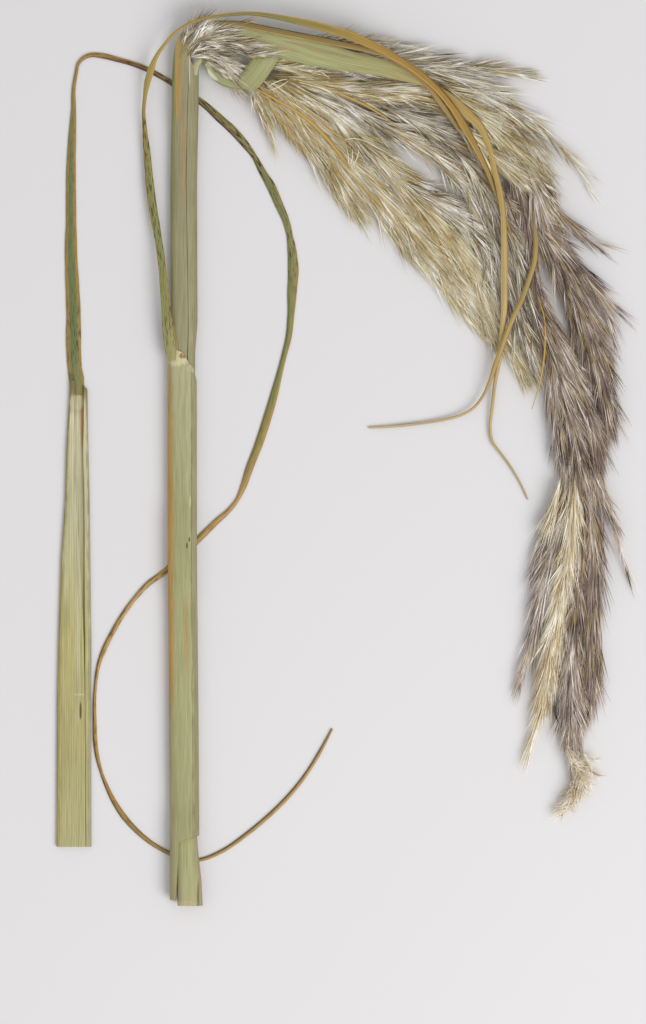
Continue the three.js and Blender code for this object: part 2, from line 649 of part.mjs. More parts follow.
// Plume: sprays that hang from its axis. Each is a slender branch, the core, with spikelet tufts on
// all sides, which are spindle-shaped needles sunk into it. A route gives the branch's places; its
// first row is moved onto the nearest part of the axis. Reach scales the length of its tufts.
const SPRAYS = [
  {
    name: 'throat',
    needles: 10,
    reach: 0.6,
    route: [[13, 351.5, 6], [17.5, 351.5, 6.8], [22, 349.5, 7.2], [26, 348, 7]],
  },
  {
    name: 'fringe',
    needles: 16,
    reach: 0.85,
    route: [[25.5, 343, 4.0], [28, 335, 4.2], [32, 324, 3.8], [35.5, 314, 2.8], [37, 309.5, 2.2]],
  },
  {
    name: 'lobe_edge',
    needles: 28,
    reach: 1,
    route: [[33, 339.5, 4.2], [38, 329.5, 4.4], [45, 316.5, 4.2], [54, 302, 3.8], [62.5, 288.5, 3],
      [68.5, 279.5, 2.2]],
  },
  {
    name: 'lobe_left',
    needles: 50,
    reach: 1.1,
    route: [[43.5, 335.5, 4.6], [50, 325.5, 4.8], [60, 311, 4.8], [73.5, 292, 4.5], [88, 274, 4.2],
      [102, 255.5, 3.8], [114.5, 237.5, 3], [122.5, 225.5, 2.4]],
  },
  {
    name: 'lobe_right',
    needles: 50,
    reach: 1.1,
    route: [[60, 332.5, 5], [66.5, 324, 4.8], [77.5, 309, 4.8], [91, 292.5, 4.8],
      [105.5, 276, 4.6], [118, 257.5, 4], [127.5, 238.5, 3.2], [134, 221, 2.8], [139.5, 206, 2.2]],
  },
  {
    name: 'lobe_upper',
    needles: 38,
    reach: 1,
    route: [[73.5, 329, 5.2], [80, 317.5, 5], [87.5, 305.5, 5], [99, 295.5, 5], [113, 285.5, 5],
      [122, 274.5, 4.6], [127, 262.5, 4.2], [129.5, 249, 3.8]],
  },
  {
    name: 'middle',
    needles: 44,
    reach: 1,
    route: [[100.5, 319, 5], [106, 310, 4.8], [115.5, 297.5, 4.8], [123.5, 284, 5],
      [129.5, 269.5, 5.2], [134, 253.5, 5.2], [139, 237, 5], [142, 220.5, 4.2], [141.5, 206, 3]],
  },
  {
    name: 'shoulder',
    needles: 38,
    reach: 1.1,
    route: [[69, 333.5, 6], [85, 336.5, 6.4], [102, 334, 6.4], [120, 324, 6.2], [133, 311, 6],
      [141.5, 296.5, 5.8], [146.5, 286, 5.6]],
  },
  {
    name: 'top',
    needles: 44,
    reach: 1.1,
    route: [[48.5, 339, 6], [58, 344.5, 6.2], [73.5, 348, 6.2], [93, 345.5, 6.2],
      [111.5, 339.5, 6], [130, 332.5, 5.4], [143.5, 323.5, 4.6], [154, 312.5, 3.6],
      [163, 302, 2.6], [171.5, 293, 1.4]],
  },
  {
    name: 'top_edge',
    needles: 32,
    reach: 1,
    route: [[36, 342, 5], [44.5, 349.5, 4.2], [60, 355, 3.6], [80.5, 355.5, 3.2], [99, 351.5, 2.6],
      [118, 345.5, 2.2], [136.5, 343, 1.8], [150, 339.5, 1.2]],
  },
  {
    name: 'right_edge',
    needles: 42,
    reach: 1.1,
    route: [[130, 284, 6], [139, 284.5, 6.4], [150, 273, 6.4], [158, 258, 6.2], [164.5, 241.5, 6],
      [170, 225.5, 5.4], [174, 209, 4.6], [177.5, 196.5, 3.4]],
  },
  {
    name: 'right',
    needles: 36,
    reach: 1,
    route: [[138.5, 264, 5.6], [145.5, 262.5, 5.4], [152, 255, 5.2], [157.5, 244, 5],
      [161.5, 230.5, 5], [164.5, 216, 5], [167, 202, 4.8], [169, 187.5, 4.6], [169, 177, 4.2]],
  },
  {
    name: 'tail_left',
    needles: 38,
    reach: 1,
    route: [[153, 219.5, 4.8], [150.5, 209, 4.8], [151, 195.5, 4.6], [153, 182.5, 4.6],
      [150, 164.5, 4.4], [146.5, 147, 4], [143, 129.5, 3.2], [140, 116.5, 2.2]],
  },
  {
    name: 'tail_blond',
    needles: 48,
    reach: 1.05,
    route: [[160, 195, 6], [159, 184, 7], [160, 169, 7.4], [158.5, 150.5, 7.2], [155, 132, 7],
      [150.5, 111, 6.4], [147, 90.5, 5.4], [143.5, 76, 4.2], [141, 64.5, 2.8], [137.5, 55.5, 1.4]],
  },
  {
    name: 'tail_edge',
    needles: 30,
    reach: 1,
    route: [[162.5, 176.5, 4.6], [155.5, 159.5, 4.4], [150.5, 141, 4.2], [146, 123, 3.8],
      [141, 106, 3], [136, 94, 2]],
  },
  {
    name: 'tail_stray',
    needles: 14,
    reach: 0.8,
    route: [[163.5, 176, 4.8], [168, 166, 4.8], [172, 154.5, 4.4], [176.5, 143, 3.4],
      [182, 132.5, 2.2], [186, 127, 1.2]],
  },
  {
    name: 'tail_right',
    needles: 32,
    reach: 1,
    route: [[164.5, 156.5, 4.8], [168, 143, 4.8], [169.5, 125, 4.6], [169, 105, 4], [169, 86.5, 3],
      [169, 74.5, 2]],
  },
  {
    name: 'tail_middle',
    needles: 24,
    reach: 1,
    route: [[162, 125.5, 4.4], [156, 109, 4.4], [153.5, 92.5, 4], [151, 78, 3], [149, 65, 2]],
  },
  {
    name: 'tail_tuft',
    needles: 24,
    reach: 0.6,
    route: [[159, 67, 4], [162, 56.5, 4], [162, 48, 3.6], [158, 41, 2.4]],
  },
];

// Proportions of a spray's branch and tufts
const ROOT_RADIUS = 0.45; // of a branch where it sits on the axis
const CORE_WIDTH = 2.2; // of a branch where it is thickest
const CORE_THICKEST = 0.15; // share of its length where that is
const CORE_TIP = 0.7;
const NEEDLE_BELLY = 0.5; // share of a needle's length where it is widest
const LEAST_SPLAY = 0.3; // radians between a needle and its branch
const MOST_SPLAY = 0.62;
const CLOSING = 0.5; // how much less they spread towards the branch's tip
const PRESSED = 0.5; // needles spread this much less up and down than sideways
const FIRST_ROOT = 0.03; // share of a branch where its tufts begin
const LAST_ROOT = 0.9;
const SHORTEST = 0.8; // of the spray's needles, as a share of their length
const LONGEST = 1.15;
const STRAY_ANGLE = 0.8; // radians that a needle may stray round its branch
const LOWEST_TIP = 0.15; // height of a needle's tip over the surface
const TRIES = 8; // draws for one needle before it is left out
const GOLDEN_ANGLE = Math.PI * (3 - Math.sqrt(5));
const GUARD_STEP = 5; // between two places where a blade is guarded
const SAMPLE_STEP = 0.8; // between two places where a needle is tested
const FREE_FROM = 0.3; // share of a needle from which it keeps clear of its own spray's needles
const POINT_RADIUS = 0.1; // of a needle's tip in those tests
const PARALLEL = 1e-9; // two directions whose spread is less count as parallel

// The place on the axis that is nearest to a point.
function axisPlace(point) {
  const places = AXIS_STATIONS.slice(1).map((end, i) => {
    const start = AXIS_STATIONS[i];
    const run = end.at.clone().sub(start.at);
    const along = point.clone().sub(start.at).dot(run) / run.lengthSq();
    const share = THREE.MathUtils.clamp(along, 0, 1);
    return {
      at: start.at.clone().lerp(end.at, share),
      ahead: run.normalize(),
      width: THREE.MathUtils.lerp(start.width, end.width, share),
    };
  });
  const distances = places.map((place) => place.at.distanceTo(point));
  return places[distances.indexOf(Math.min(...distances))];
}

// Where a spray's branch runs: from its root just clear of the axis, through its route.
function branchStations(spray) {
  const places = spray.route.map((row) => new THREE.Vector3(...row));
  const axis = axisPlace(places[0]);
  const out = places[1].clone().sub(axis.at);
  out.addScaledVector(axis.ahead, -out.dot(axis.ahead)).normalize();
  places[0] = axis.at.clone().addScaledVector(out, axis.width / 2 + GAP + ROOT_RADIUS);
  const runs = [0];
  places.slice(1).forEach((place, i) => runs.push(runs[i] + place.distanceTo(places[i])));
  const rows = places.map((place, i) => {
    const share = runs[i] / runs[runs.length - 1];
    const full = THREE.MathUtils.lerp(CORE_WIDTH, CORE_TIP, share);
    const width = THREE.MathUtils.lerp(2 * ROOT_RADIUS, full, Math.min(share / CORE_THICKEST, 1));
    return [place.x, place.y, place.z, width, width * CORE_FLATNESS];
  });
  return followRoute(rows, CORE_STEP);
}

// A spindle with three sides: a point sunk in the branch, a belly and a tip.
function needleGeometry({ root, tip, radius }) {
  const along = tip.clone().sub(root);
  const side = new THREE.Vector3(0, 0, 1).cross(along).normalize();
  const up = along.clone().normalize().cross(side);
  const belly = root.clone().addScaledVector(along, NEEDLE_BELLY);
  const ring = [0, 1, 2].map((k) => {
    const angle = (2 * Math.PI * k) / 3 + Math.PI / 2;
    const across = radius * Math.cos(angle);
    const height = NEEDLE_FLATNESS * radius * Math.sin(angle);
    return belly.clone().addScaledVector(side, across).addScaledVector(up, height);
  });
  const corners = [root, ...ring, tip].flatMap((corner) => [corner.x, corner.y, corner.z]);
  const geometry = new THREE.BufferGeometry();
  geometry.setAttribute('position', new THREE.Float32BufferAttribute(corners, 3));
  geometry.setIndex([0, 1, 2, 0, 2, 3, 0, 3, 1, 4, 2, 1, 4, 3, 2, 4, 1, 3]);
  return facingOut(geometry);
}

// Straight pieces along a chain of stations, each with the radii of what it stands for.
function chain(stations) {
  return stations.slice(1).map((station, i) => ({
    from: stations[i].at,
    to: station.at,
    fromRadius: stations[i].width / 2,
    toRadius: station.width / 2,
  }));
}

// Whether two straight round pieces come closer than a gap at their nearest approach.
function tooNear(one, two, gap) {
  const reach = one.fromRadius + two.fromRadius + two.toRadius + gap;
  const apart = ['x', 'y'].some((axis) => {
    const [oneLow, oneHigh] = [one.from[axis], one.to[axis]].sort((a, b) => a - b);
    const [twoLow, twoHigh] = [two.from[axis], two.to[axis]].sort((a, b) => a - b);
    return Math.max(oneLow, twoLow) - Math.min(oneHigh, twoHigh) > reach;
  });
  if (apart) return false;
  const d1 = one.to.clone().sub(one.from);
  const d2 = two.to.clone().sub(two.from);
  const between = one.from.clone().sub(two.from);
  const clamp = (value) => THREE.MathUtils.clamp(value, 0, 1);
  const spread = d1.dot(d1) * d2.dot(d2) - d1.dot(d2) ** 2;
  const lead = d1.dot(d2) * d2.dot(between) - d1.dot(between) * d2.dot(d2);
  const first = spread > PARALLEL ? lead / spread : 0;
  const t = clamp((d1.dot(d2) * clamp(first) + d2.dot(between)) / d2.dot(d2));
  const s = clamp((d1.dot(d2) * t - d1.dot(between)) / d1.dot(d1));
  const nearest = between.addScaledVector(d1, s).addScaledVector(d2, -t).length();
  const radii = THREE.MathUtils.lerp(one.fromRadius, one.toRadius, s) +
    THREE.MathUtils.lerp(two.fromRadius, two.toRadius, t);
  return nearest < radii + gap;
}

// Blades that the plume leaves free: no needle goes through them, and none lies over them but where
// the third leaf's blade is deep in the plume.
const THIRD_HIDDEN = [99, 141];
const GUARDED = [LOWER_BLADE, UPPER_BLADE, FOLDED_DOWN, FOLDED_BACK, THIRD_BLADE, BASAL_BLADE].map(
  (rows) => ({ hides: rows === THIRD_BLADE, stations: followRoute(rows, GUARD_STEP) }),
);

function meetsBlade(place, radius, { hides, stations }) {
  return stations.slice(1).some((end, i) => {
    const start = stations[i];
    const run = new THREE.Vector2(end.at.x - start.at.x, end.at.y - start.at.y);
    const away = new THREE.Vector2(place.x - start.at.x, place.y - start.at.y);
    const share = THREE.MathUtils.clamp(away.dot(run) / run.lengthSq(), 0, 1);
    const aside = away.addScaledVector(run, -share).length();
    const half = Math.max(start.width, end.width) / 2;
    if (aside > half + radius + GAP) return false;
    const underside = THREE.MathUtils.lerp(start.at.z, end.at.z, share);
    const below = place.z + radius + GAP < underside;
    const hidden = hides && place.x > THIRD_HIDDEN[0] && place.x < THIRD_HIDDEN[1];
    const above = place.z - radius - GAP > underside + BLADE_THICKNESS + KEEL;
    return !(below || (hidden && above));
  });
}

function meetsAnyBlade({ root, tip, radius }) {
  const count = Math.ceil(root.distanceTo(tip) / SAMPLE_STEP);
  const shares = Array.from({ length: count + 1 }, (_, k) => k / count);
  return shares.some((share) => {
    const place = root.clone().lerp(tip, share);
    const taper = Math.min(share / NEEDLE_BELLY, (1 - share) / (1 - NEEDLE_BELLY));
    return GUARDED.some((blade) => meetsBlade(place, radius * taper, blade));
  });
}

// Draws one needle on a branch: its root is in the branch's middle, and it leans forward and out.
function drawNeedle(stations, spray, i, random) {
  const share = (i + random()) / spray.needles;
  const place = THREE.MathUtils.lerp(FIRST_ROOT, LAST_ROOT, share) * (stations.length - 1);
  const start = stations[Math.floor(place)];
  const end = stations[Math.floor(place) + 1];
  const root = start.at.clone().lerp(end.at, place % 1);
  const around = i * GOLDEN_ANGLE + STRAY_ANGLE * random();
  const splay = THREE.MathUtils.lerp(LEAST_SPLAY, MOST_SPLAY, random()) * (1 - CLOSING * share);
  const size = THREE.MathUtils.lerp(SHORTEST, LONGEST, random());
  const length = NEEDLE_LENGTH * spray.reach * size;
  const tip = root
    .clone()
    .addScaledVector(start.ahead, length * Math.cos(splay))
    .addScaledVector(start.side, length * Math.sin(splay) * Math.cos(around))
    .addScaledVector(start.up, length * Math.sin(splay) * Math.sin(around) * PRESSED);
  tip.z = Math.max(tip.z, LOWEST_TIP);
  return { root, tip, radius: NEEDLE_WIDTH / 2 };
}

function plumeSprays() {
  const branches = SPRAYS.map(branchStations);
  const taken = branches.map(chain);
  const axis = chain(AXIS_STATIONS);
  return SPRAYS.map((spray, own) => {
    const random = randomFrom(SEED + own);
    const needles = [];
    const free = [];
    for (let i = 0; i < spray.needles; i += 1) {
      for (let attempt = 0; attempt < TRIES; attempt += 1) {
        const needle = drawNeedle(branches[own], spray, i, random);
        const { root, tip, radius } = needle;
        const whole = { from: root, to: tip, fromRadius: radius, toRadius: POINT_RADIUS };
        const thin = radius * NEEDLE_FLATNESS;
        const outer = { ...whole, from: root.clone().lerp(tip, FREE_FROM), fromRadius: thin };
        const others = [axis, ...taken.filter((_, k) => k !== own)].flat();
        if (others.some((other) => tooNear(whole, other, GAP))) continue;
        if (free.some((other) => tooNear(outer, other, 0)) || meetsAnyBlade(needle)) continue;
        needles.push(needle);
        taken[own].push(whole);
        free.push(outer);
        break;
      }
    }
    const core = skin(branches[own].map((station) => branchRing(station, CORE_SIDES)));
    return fuse([core, ...needles.map(needleGeometry)]);
  });
}

// Colours
const LEAF_GREEN = 0x9a9a66;
const SHEATH_GREEN = 0xa5a376;
const STRAP_GREEN = 0xaeb582;
const STRAW_ORANGE = 0xc0954f;
const CULM_GREEN = 0xb0ac80;
const PLUME_GREY = 0x9a8d7c;

function addPiece(group, name, solid, color, roughness) {
  const material = new THREE.MeshStandardMaterial({ color, roughness, metalness: 0 });
  const mesh = new THREE.Mesh(geometryFrom(solid), material);
  mesh.name = name;
  group.add(mesh);
}

const plant = new THREE.Group();
addPiece(plant, 'culm', culm(), CULM_GREEN, 0.6);
addPiece(plant, 'lower_leaf', lowerLeaf(), SHEATH_GREEN, 0.6);
addPiece(plant, 'upper_leaf', upperLeaf(), STRAP_GREEN, 0.6);
addPiece(plant, 'third_leaf_blade', solidFrom(blade(THIRD_BLADE)), STRAW_ORANGE, 0.6);
addPiece(plant, 'basal_leaf', basalLeaf(), LEAF_GREEN, 0.6);
plumeSprays().forEach((solid, i) => {
  addPiece(plant, `spray_${SPRAYS[i].name}`, solid, PLUME_GREY, 0.9);
});

// The origin is the middle of the surface under the plant.
const extent = new THREE.Box3().setFromObject(plant);
const middle = extent.getCenter(new THREE.Vector3());
plant.position.set(-middle.x, -middle.y, -extent.min.z);

export default plant;
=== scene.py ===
import math
from functools import partial

import bmesh
import bpy
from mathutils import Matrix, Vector, noise


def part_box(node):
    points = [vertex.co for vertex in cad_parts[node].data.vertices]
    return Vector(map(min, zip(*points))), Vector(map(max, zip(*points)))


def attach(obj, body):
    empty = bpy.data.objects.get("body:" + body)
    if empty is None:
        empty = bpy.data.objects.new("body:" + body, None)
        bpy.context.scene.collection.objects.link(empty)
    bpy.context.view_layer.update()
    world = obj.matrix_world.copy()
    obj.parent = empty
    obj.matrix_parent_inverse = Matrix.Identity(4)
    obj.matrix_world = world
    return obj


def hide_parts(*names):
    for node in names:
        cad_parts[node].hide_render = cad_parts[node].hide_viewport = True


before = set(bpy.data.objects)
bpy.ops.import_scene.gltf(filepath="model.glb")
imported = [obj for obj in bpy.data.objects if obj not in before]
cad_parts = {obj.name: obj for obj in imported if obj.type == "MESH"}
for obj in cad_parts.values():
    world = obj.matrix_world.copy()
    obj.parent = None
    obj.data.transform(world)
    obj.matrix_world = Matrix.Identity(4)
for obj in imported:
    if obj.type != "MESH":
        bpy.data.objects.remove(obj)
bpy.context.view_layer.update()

# The sheet that the plant lies on, and how it was looked at: straight from above, with a long lens
# and soft light that comes from the lower right.
SHEET_COLOUR = "E1DFE0"
SHEET_REACH = 3.0  # m, half its side
SHEET_DROP = 0.0001  # m below the plant
VIEW_MIDDLE = (57.2, 161.8)  # mm to the right of the stem's cut end and along the stem
VIEW_HEIGHT = 421.7  # mm of the sheet that the picture shows, top to bottom
LENS = 200.0
SENSOR = 36.0
SKY_STRENGTH = 0.625
LAMP_SIZE = 1.5  # m across
LAMP_WATTS = 29.0
LAMP_SPOT = (1.15, -1.05, 1.45)
CUT_END_X = -0.0690222  # m, the middle of the stem's cut end
CUT_END_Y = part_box("culm")[0][1]


def tint(code):
    """A colour written as sRGB hex, as linear RGBA."""
    parts = [int(code[i : i + 2], 16) / 255 for i in (0, 2, 4)]
    linear = [c / 12.92 if c <= 0.04045 else ((c + 0.055) / 1.055) ** 2.4 for c in parts]
    return (*linear, 1.0)


def add(tree, kind, links=None, **settings):
    """Adds a node with its settings. links gives sockets a value, an output, or a node for its first
    output."""
    made = tree.nodes.new(kind)
    for key, value in settings.items():
        setattr(made, key, value)
    for key, value in (links or {}).items():
        named = [s for s in made.inputs if key in (s.identifier, s.name) and s.enabled]
        socket = made.inputs[key] if isinstance(key, int) else named[0]
        value = value.outputs[0] if isinstance(value, bpy.types.Node) else value
        if isinstance(value, bpy.types.NodeSocket):
            tree.links.new(value, socket)
        else:
            socket.default_value = value
    return made


def place(x, y, z):
    """A point given in mm from the middle of the stem's cut end, in the part's frame in metres."""
    return Vector((x / 1000 + CUT_END_X, y / 1000 + CUT_END_Y, z / 1000))


def fresh_material(name):
    """An empty material, and add() for its nodes."""
    made = bpy.data.materials.new(name)
    made.use_nodes = True
    made.node_tree.nodes.clear()
    return made, partial(add, made.node_tree)


def in_scene(name, data):
    made = bpy.data.objects.new(name, data)
    bpy.context.collection.objects.link(made)
    return made


# Matt grey paper with the least grain, so that only the plant draws the eye.
paper, node = fresh_material("pale_mounting_paper")
grain = node("ShaderNodeTexNoise", {"Scale": 900.0, "Detail": 2.0})
grain = node("ShaderNodeBump", {"Height": grain, "Distance": 0.00005, "Strength": 0.2})
surface = {"Base Color": tint(SHEET_COLOUR), "Roughness": 0.9, "Normal": grain}
node("ShaderNodeOutputMaterial", {"Surface": node("ShaderNodeBsdfPrincipled", surface)})

sheet = bpy.data.meshes.new("sheet_below")
corners = [(x * SHEET_REACH, y * SHEET_REACH, -SHEET_DROP) for x, y in ((-1, -1), (1, -1), (1, 1), (-1, 1))]
sheet.from_pydata(corners, [], [(0, 1, 2, 3)])
sheet.materials.append(paper)
floor = in_scene("sheet_below", sheet)

camera_data = bpy.data.cameras.new("camera")
camera_data.lens = LENS
camera_data.sensor_width = SENSOR
camera = in_scene("camera", camera_data)
camera.location = place(*VIEW_MIDDLE, VIEW_HEIGHT * LENS / SENSOR)
bpy.context.scene.camera = camera

sky = bpy.data.worlds.new("soft_sky")
sky.use_nodes = True
sky.node_tree.nodes["Background"].inputs["Color"].default_value = (1, 1, 1, 1)
sky.node_tree.nodes["Background"].inputs["Strength"].default_value = SKY_STRENGTH
bpy.context.scene.world = sky
bpy.context.scene.view_settings.view_transform = "Standard"

lamp_data = bpy.data.lights.new("soft_window", "AREA")
lamp_data.shape = "DISK"
lamp_data.size = LAMP_SIZE
lamp_data.energy = LAMP_WATTS
lamp = in_scene("soft_window", lamp_data)
lamp.location = LAMP_SPOT
lamp.rotation_euler = (-lamp.location).to_track_quat("-Z", "Y").to_euler()

# Culm: the stem itself, a pressed oval of tough green-gold fibres, cut square and split at its lower
# end. Past the fold at the top it grows on, thinner and thinner, as the axis that carries the plume.
STEM_TOP = 5.6  # mm above the sheet, the lower sheath with the culm in it
BLADE, KEEL, GAP = 0.6, 0.25, 0.3  # mm: a blade's thickness, how much its fold adds, air below the stem
RIDE = BLADE + KEEL + GAP  # mm that the stem rises where the basal blade passes under it
CROSSINGS = [(-5, 31), (133, 156), (326, 380)]  # mm along the stem
CROSSING_RAMP = 10.0  # mm
CULM_ROWS = [  # along, middle, width, underside, top
    (0, 2.6, 10.4, 1.0, 5.2), (10, 2.1, 10.4, 1.0, 5.2), (22, 0.9, 10.1, 0.9, 4.7), (31, 0.3, 10.0, 0.9, 4.7),
    (84, -0.1, 10.0, 0.9, 4.7), (142, -0.6, 10.0, 0.9, 4.7), (190, -0.7, 9.8, 0.9, 4.7),
    (198, -0.7, 8.2, 1.8, 3.8), (230, -0.3, 8.2, 1.8, 3.8), (244, 0.1, 8.9, 0.9, 4.1),
    (298, 0, 8.8, 0.9, 4.1), (326, 0.5, 8.8, 0.9, 4.1), (338, 0.7, 7.4, 1.0, 4.1),
]
AXIS_ROWS = [  # x, y, z, width, height
    (1, 345, 3.7, 4.6, 3.2), (1.8, 350, 3.6, 3.6, 3.0), (4, 353, 3.7, 3.1, 2.8), (8, 353.4, 3.9, 2.8, 2.6),
    (13, 351, 4.1, 2.6, 2.4), (23, 345.5, 4.7, 2.4, 2.2), (41.5, 338, 5.2, 2.2, 2.0),
    (60, 334, 5.5, 2.1, 1.9), (80.5, 329, 5.5, 2.0, 1.8), (99, 321.5, 5.5, 1.9, 1.7),
    (113, 310, 5.5, 1.8, 1.6), (123, 295, 5.5, 1.7, 1.6), (133, 276, 5.5, 1.6, 1.5),
    (141, 253, 5.3, 1.5, 1.4), (148.5, 232.5, 5.2, 1.4, 1.3), (155, 214, 5, 1.4, 1.3),
    (160, 195.5, 5, 1.3, 1.2), (162.5, 179, 5, 1.3, 1.2), (164, 158.5, 4.6, 1.2, 1.1),
    (162.5, 138, 4.4, 1.1, 1.0), (160.5, 117.5, 4.2, 1.1, 1.0), (159, 92.5, 4, 1.0, 0.9),
    (158.5, 68, 3.6, 0.9, 0.9), (159.5, 50, 3.2, 0.8, 0.8),
]
OVAL_POWER = 0.8  # how square the pressed oval is
OVAL_RISE = 1.06  # how far its flat underside cuts into it
CULM_POINTS = 32
CULM_STEP = 3  # mm between rings
CULM_LENGTH = 338  # mm to the fold
BLADE_STEP = 1.5  # mm between the rings of a blade
UP = Vector((0, 0, 1))


def read_rows(rows, at):
    """The values of rows that start with a place, straight between them."""
    if at <= rows[0][0]:
        return rows[0][1:]
    for low, high in zip(rows, rows[1:]):
        if at <= high[0]:
            share = (at - low[0]) / (high[0] - low[0])
            return tuple(a + (b - a) * share for a, b in zip(low[1:], high[1:]))
    return rows[-1][1:]


def rise_at(along):
    """How far the stem is lifted, in mm, by the blade that passes under it."""
    outside = min(max(low - along, along - high, 0) for low, high in CROSSINGS)
    return RIDE * max(0.0, 1 - outside / CROSSING_RAMP)


def oval(half, bottom, top, angle):
    """A point of a pressed oval section with a flat underside."""
    bent = lambda value: math.copysign(abs(value) ** OVAL_POWER, value)
    rise = (top - bottom) / 2 * OVAL_RISE
    return half * bent(math.cos(angle)), max(top - rise + rise * bent(math.sin(angle)), bottom)


def smooth_route(rows, step):
    """A smooth curve through rows of x, y, z and sizes, as (row number, point, ahead, sizes)."""
    points = [Vector(row[:3]) for row in rows]
    points = [2 * points[0] - points[1], *points, 2 * points[-1] - points[-2]]
    sizes = [tuple(row[3:]) + (0.0,) * (5 - len(row)) for row in rows]
    samples = []
    for i in range(len(rows) - 1):
        four = points[i : i + 4]
        knots = [0.0]
        for a, b in zip(four, four[1:]):
            knots.append(knots[-1] + max((b - a).length ** 0.5, 0.001))
        count = max(1, round((four[2] - four[1]).length / step))
        for k in range(count + (i == len(rows) - 2)):
            t = knots[1] + (knots[2] - knots[1]) * k / count
            layer = four
            for spans in (list(zip(knots, knots[1:])), list(zip(knots, knots[2:])), [knots[1:3]]):
                layer = [a.lerp(b, (t - low) / (high - low)) for a, b, (low, high) in zip(layer, layer[1:],
                 spans)]
            mixed = tuple(a + (b - a) * k / count for a, b in zip(sizes[i], sizes[i + 1]))
            samples.append((i + k / count, layer[0], mixed))
    route = []
    for i, (row, point, values) in enumerate(samples):
        ahead = samples[min(i + 1, len(samples) - 1)][1] - samples[max(i - 1, 0)][1]
        route.append((row, point, ahead.normalized(), values))
    return route


def run_of(rows, row):
    """How many mm along its blade a row lies, for a colour that changes there."""
    points = [point for number, point, ahead, sizes in smooth_route(rows, BLADE_STEP) if number <= row]
    return sum((b - a).length for a, b in zip(points, points[1:]))


def skin(rings):
    """Closed faces over rings of (point in mm, mm across, mm along, margin share)."""
    size = len(rings[0])
    corners = [corner for ring in rings for corner in ring]
    faces = []
    for i in range(len(rings) - 1):
        for k in range(size):
            a, b = i * size + k, i * size + (k + 1) % size
            faces.append((a, b, b + size, a + size))
    end = (len(rings) - 1) * size
    for k in range(size // 2 - 1):
        far = size - 1 - k
        faces.append((k, far, far - 1, k + 1))
        faces.append((end + k, end + k + 1, end + far - 1, end + far))
    return corners, faces


def grown_piece(name, skins, materials):
    """One object from several skins, the first in the first material and so on."""
    mesh = bpy.data.meshes.new(name)
    corners, faces, numbers = [], [], []
    for number, (more_corners, more_faces) in enumerate(skins):
        start = len(corners)
        corners += more_corners
        faces += [tuple(start + corner for corner in face) for face in more_faces]
        numbers += [number] * len(more_faces)
    mesh.from_pydata([place(*corner[0]) for corner in corners], [], faces)
    for material in materials:
        mesh.materials.append(material)
    mesh.polygons.foreach_set("material_index", numbers)
    on_leaf = mesh.uv_layers.new(name="leaf")
    for loop in mesh.loops:
        on_leaf.data[loop.index].uv = corners[loop.vertex_index][1:3]
    margin = mesh.attributes.new("margin", "FLOAT", "POINT")
    margin.data.foreach_set("value", [corner[3] for corner in corners])
    form = bmesh.new()
    form.from_mesh(mesh)
    bmesh.ops.recalc_face_normals(form, faces=form.faces)
    form.to_mesh(mesh)
    form.free()
    mesh.shade_smooth()
    mesh.set_sharp_from_angle(angle=math.radians(50))
    return in_scene(name, mesh)


def set_stops(ramp, stops, length):
    """Colours or shares of grey along a ramp, by mm."""
    elements = ramp.color_ramp.elements
    elements.remove(elements[-1])
    for i, (at, value) in enumerate(stops):
        at = min(max(at / length, 0.0), 1.0)
        element = elements[0] if i == 0 else elements.new(at)
        element.position = at
        element.color = tint(value) if isinstance(value, str) else (value, value, value, 1)
    return ramp


MATH, VECTOR = "ShaderNodeMath", "ShaderNodeVectorMath"
AGED_LEAF, DARK_DASH = "7D7148", "3B2A1C"
LEAF_NOISES = [  # mm across, mm along and detail of slow drifts, fine streaks, patches and dashes
    (1.3, 26.0, 3.0), (0.22, 14.0, 2.0), (0.9, 7.0, 3.0), (0.55, 4.6, 1.0),
]
DRIFT = 0.05  # share of the length that a colour's place wanders
RAGGED, SPOT_RAGGED = 0.5, 0.7  # how uneven the edges of margins and of spots are
VEIN_RELIEF = 4.0  # of a vein, against the fine streaks


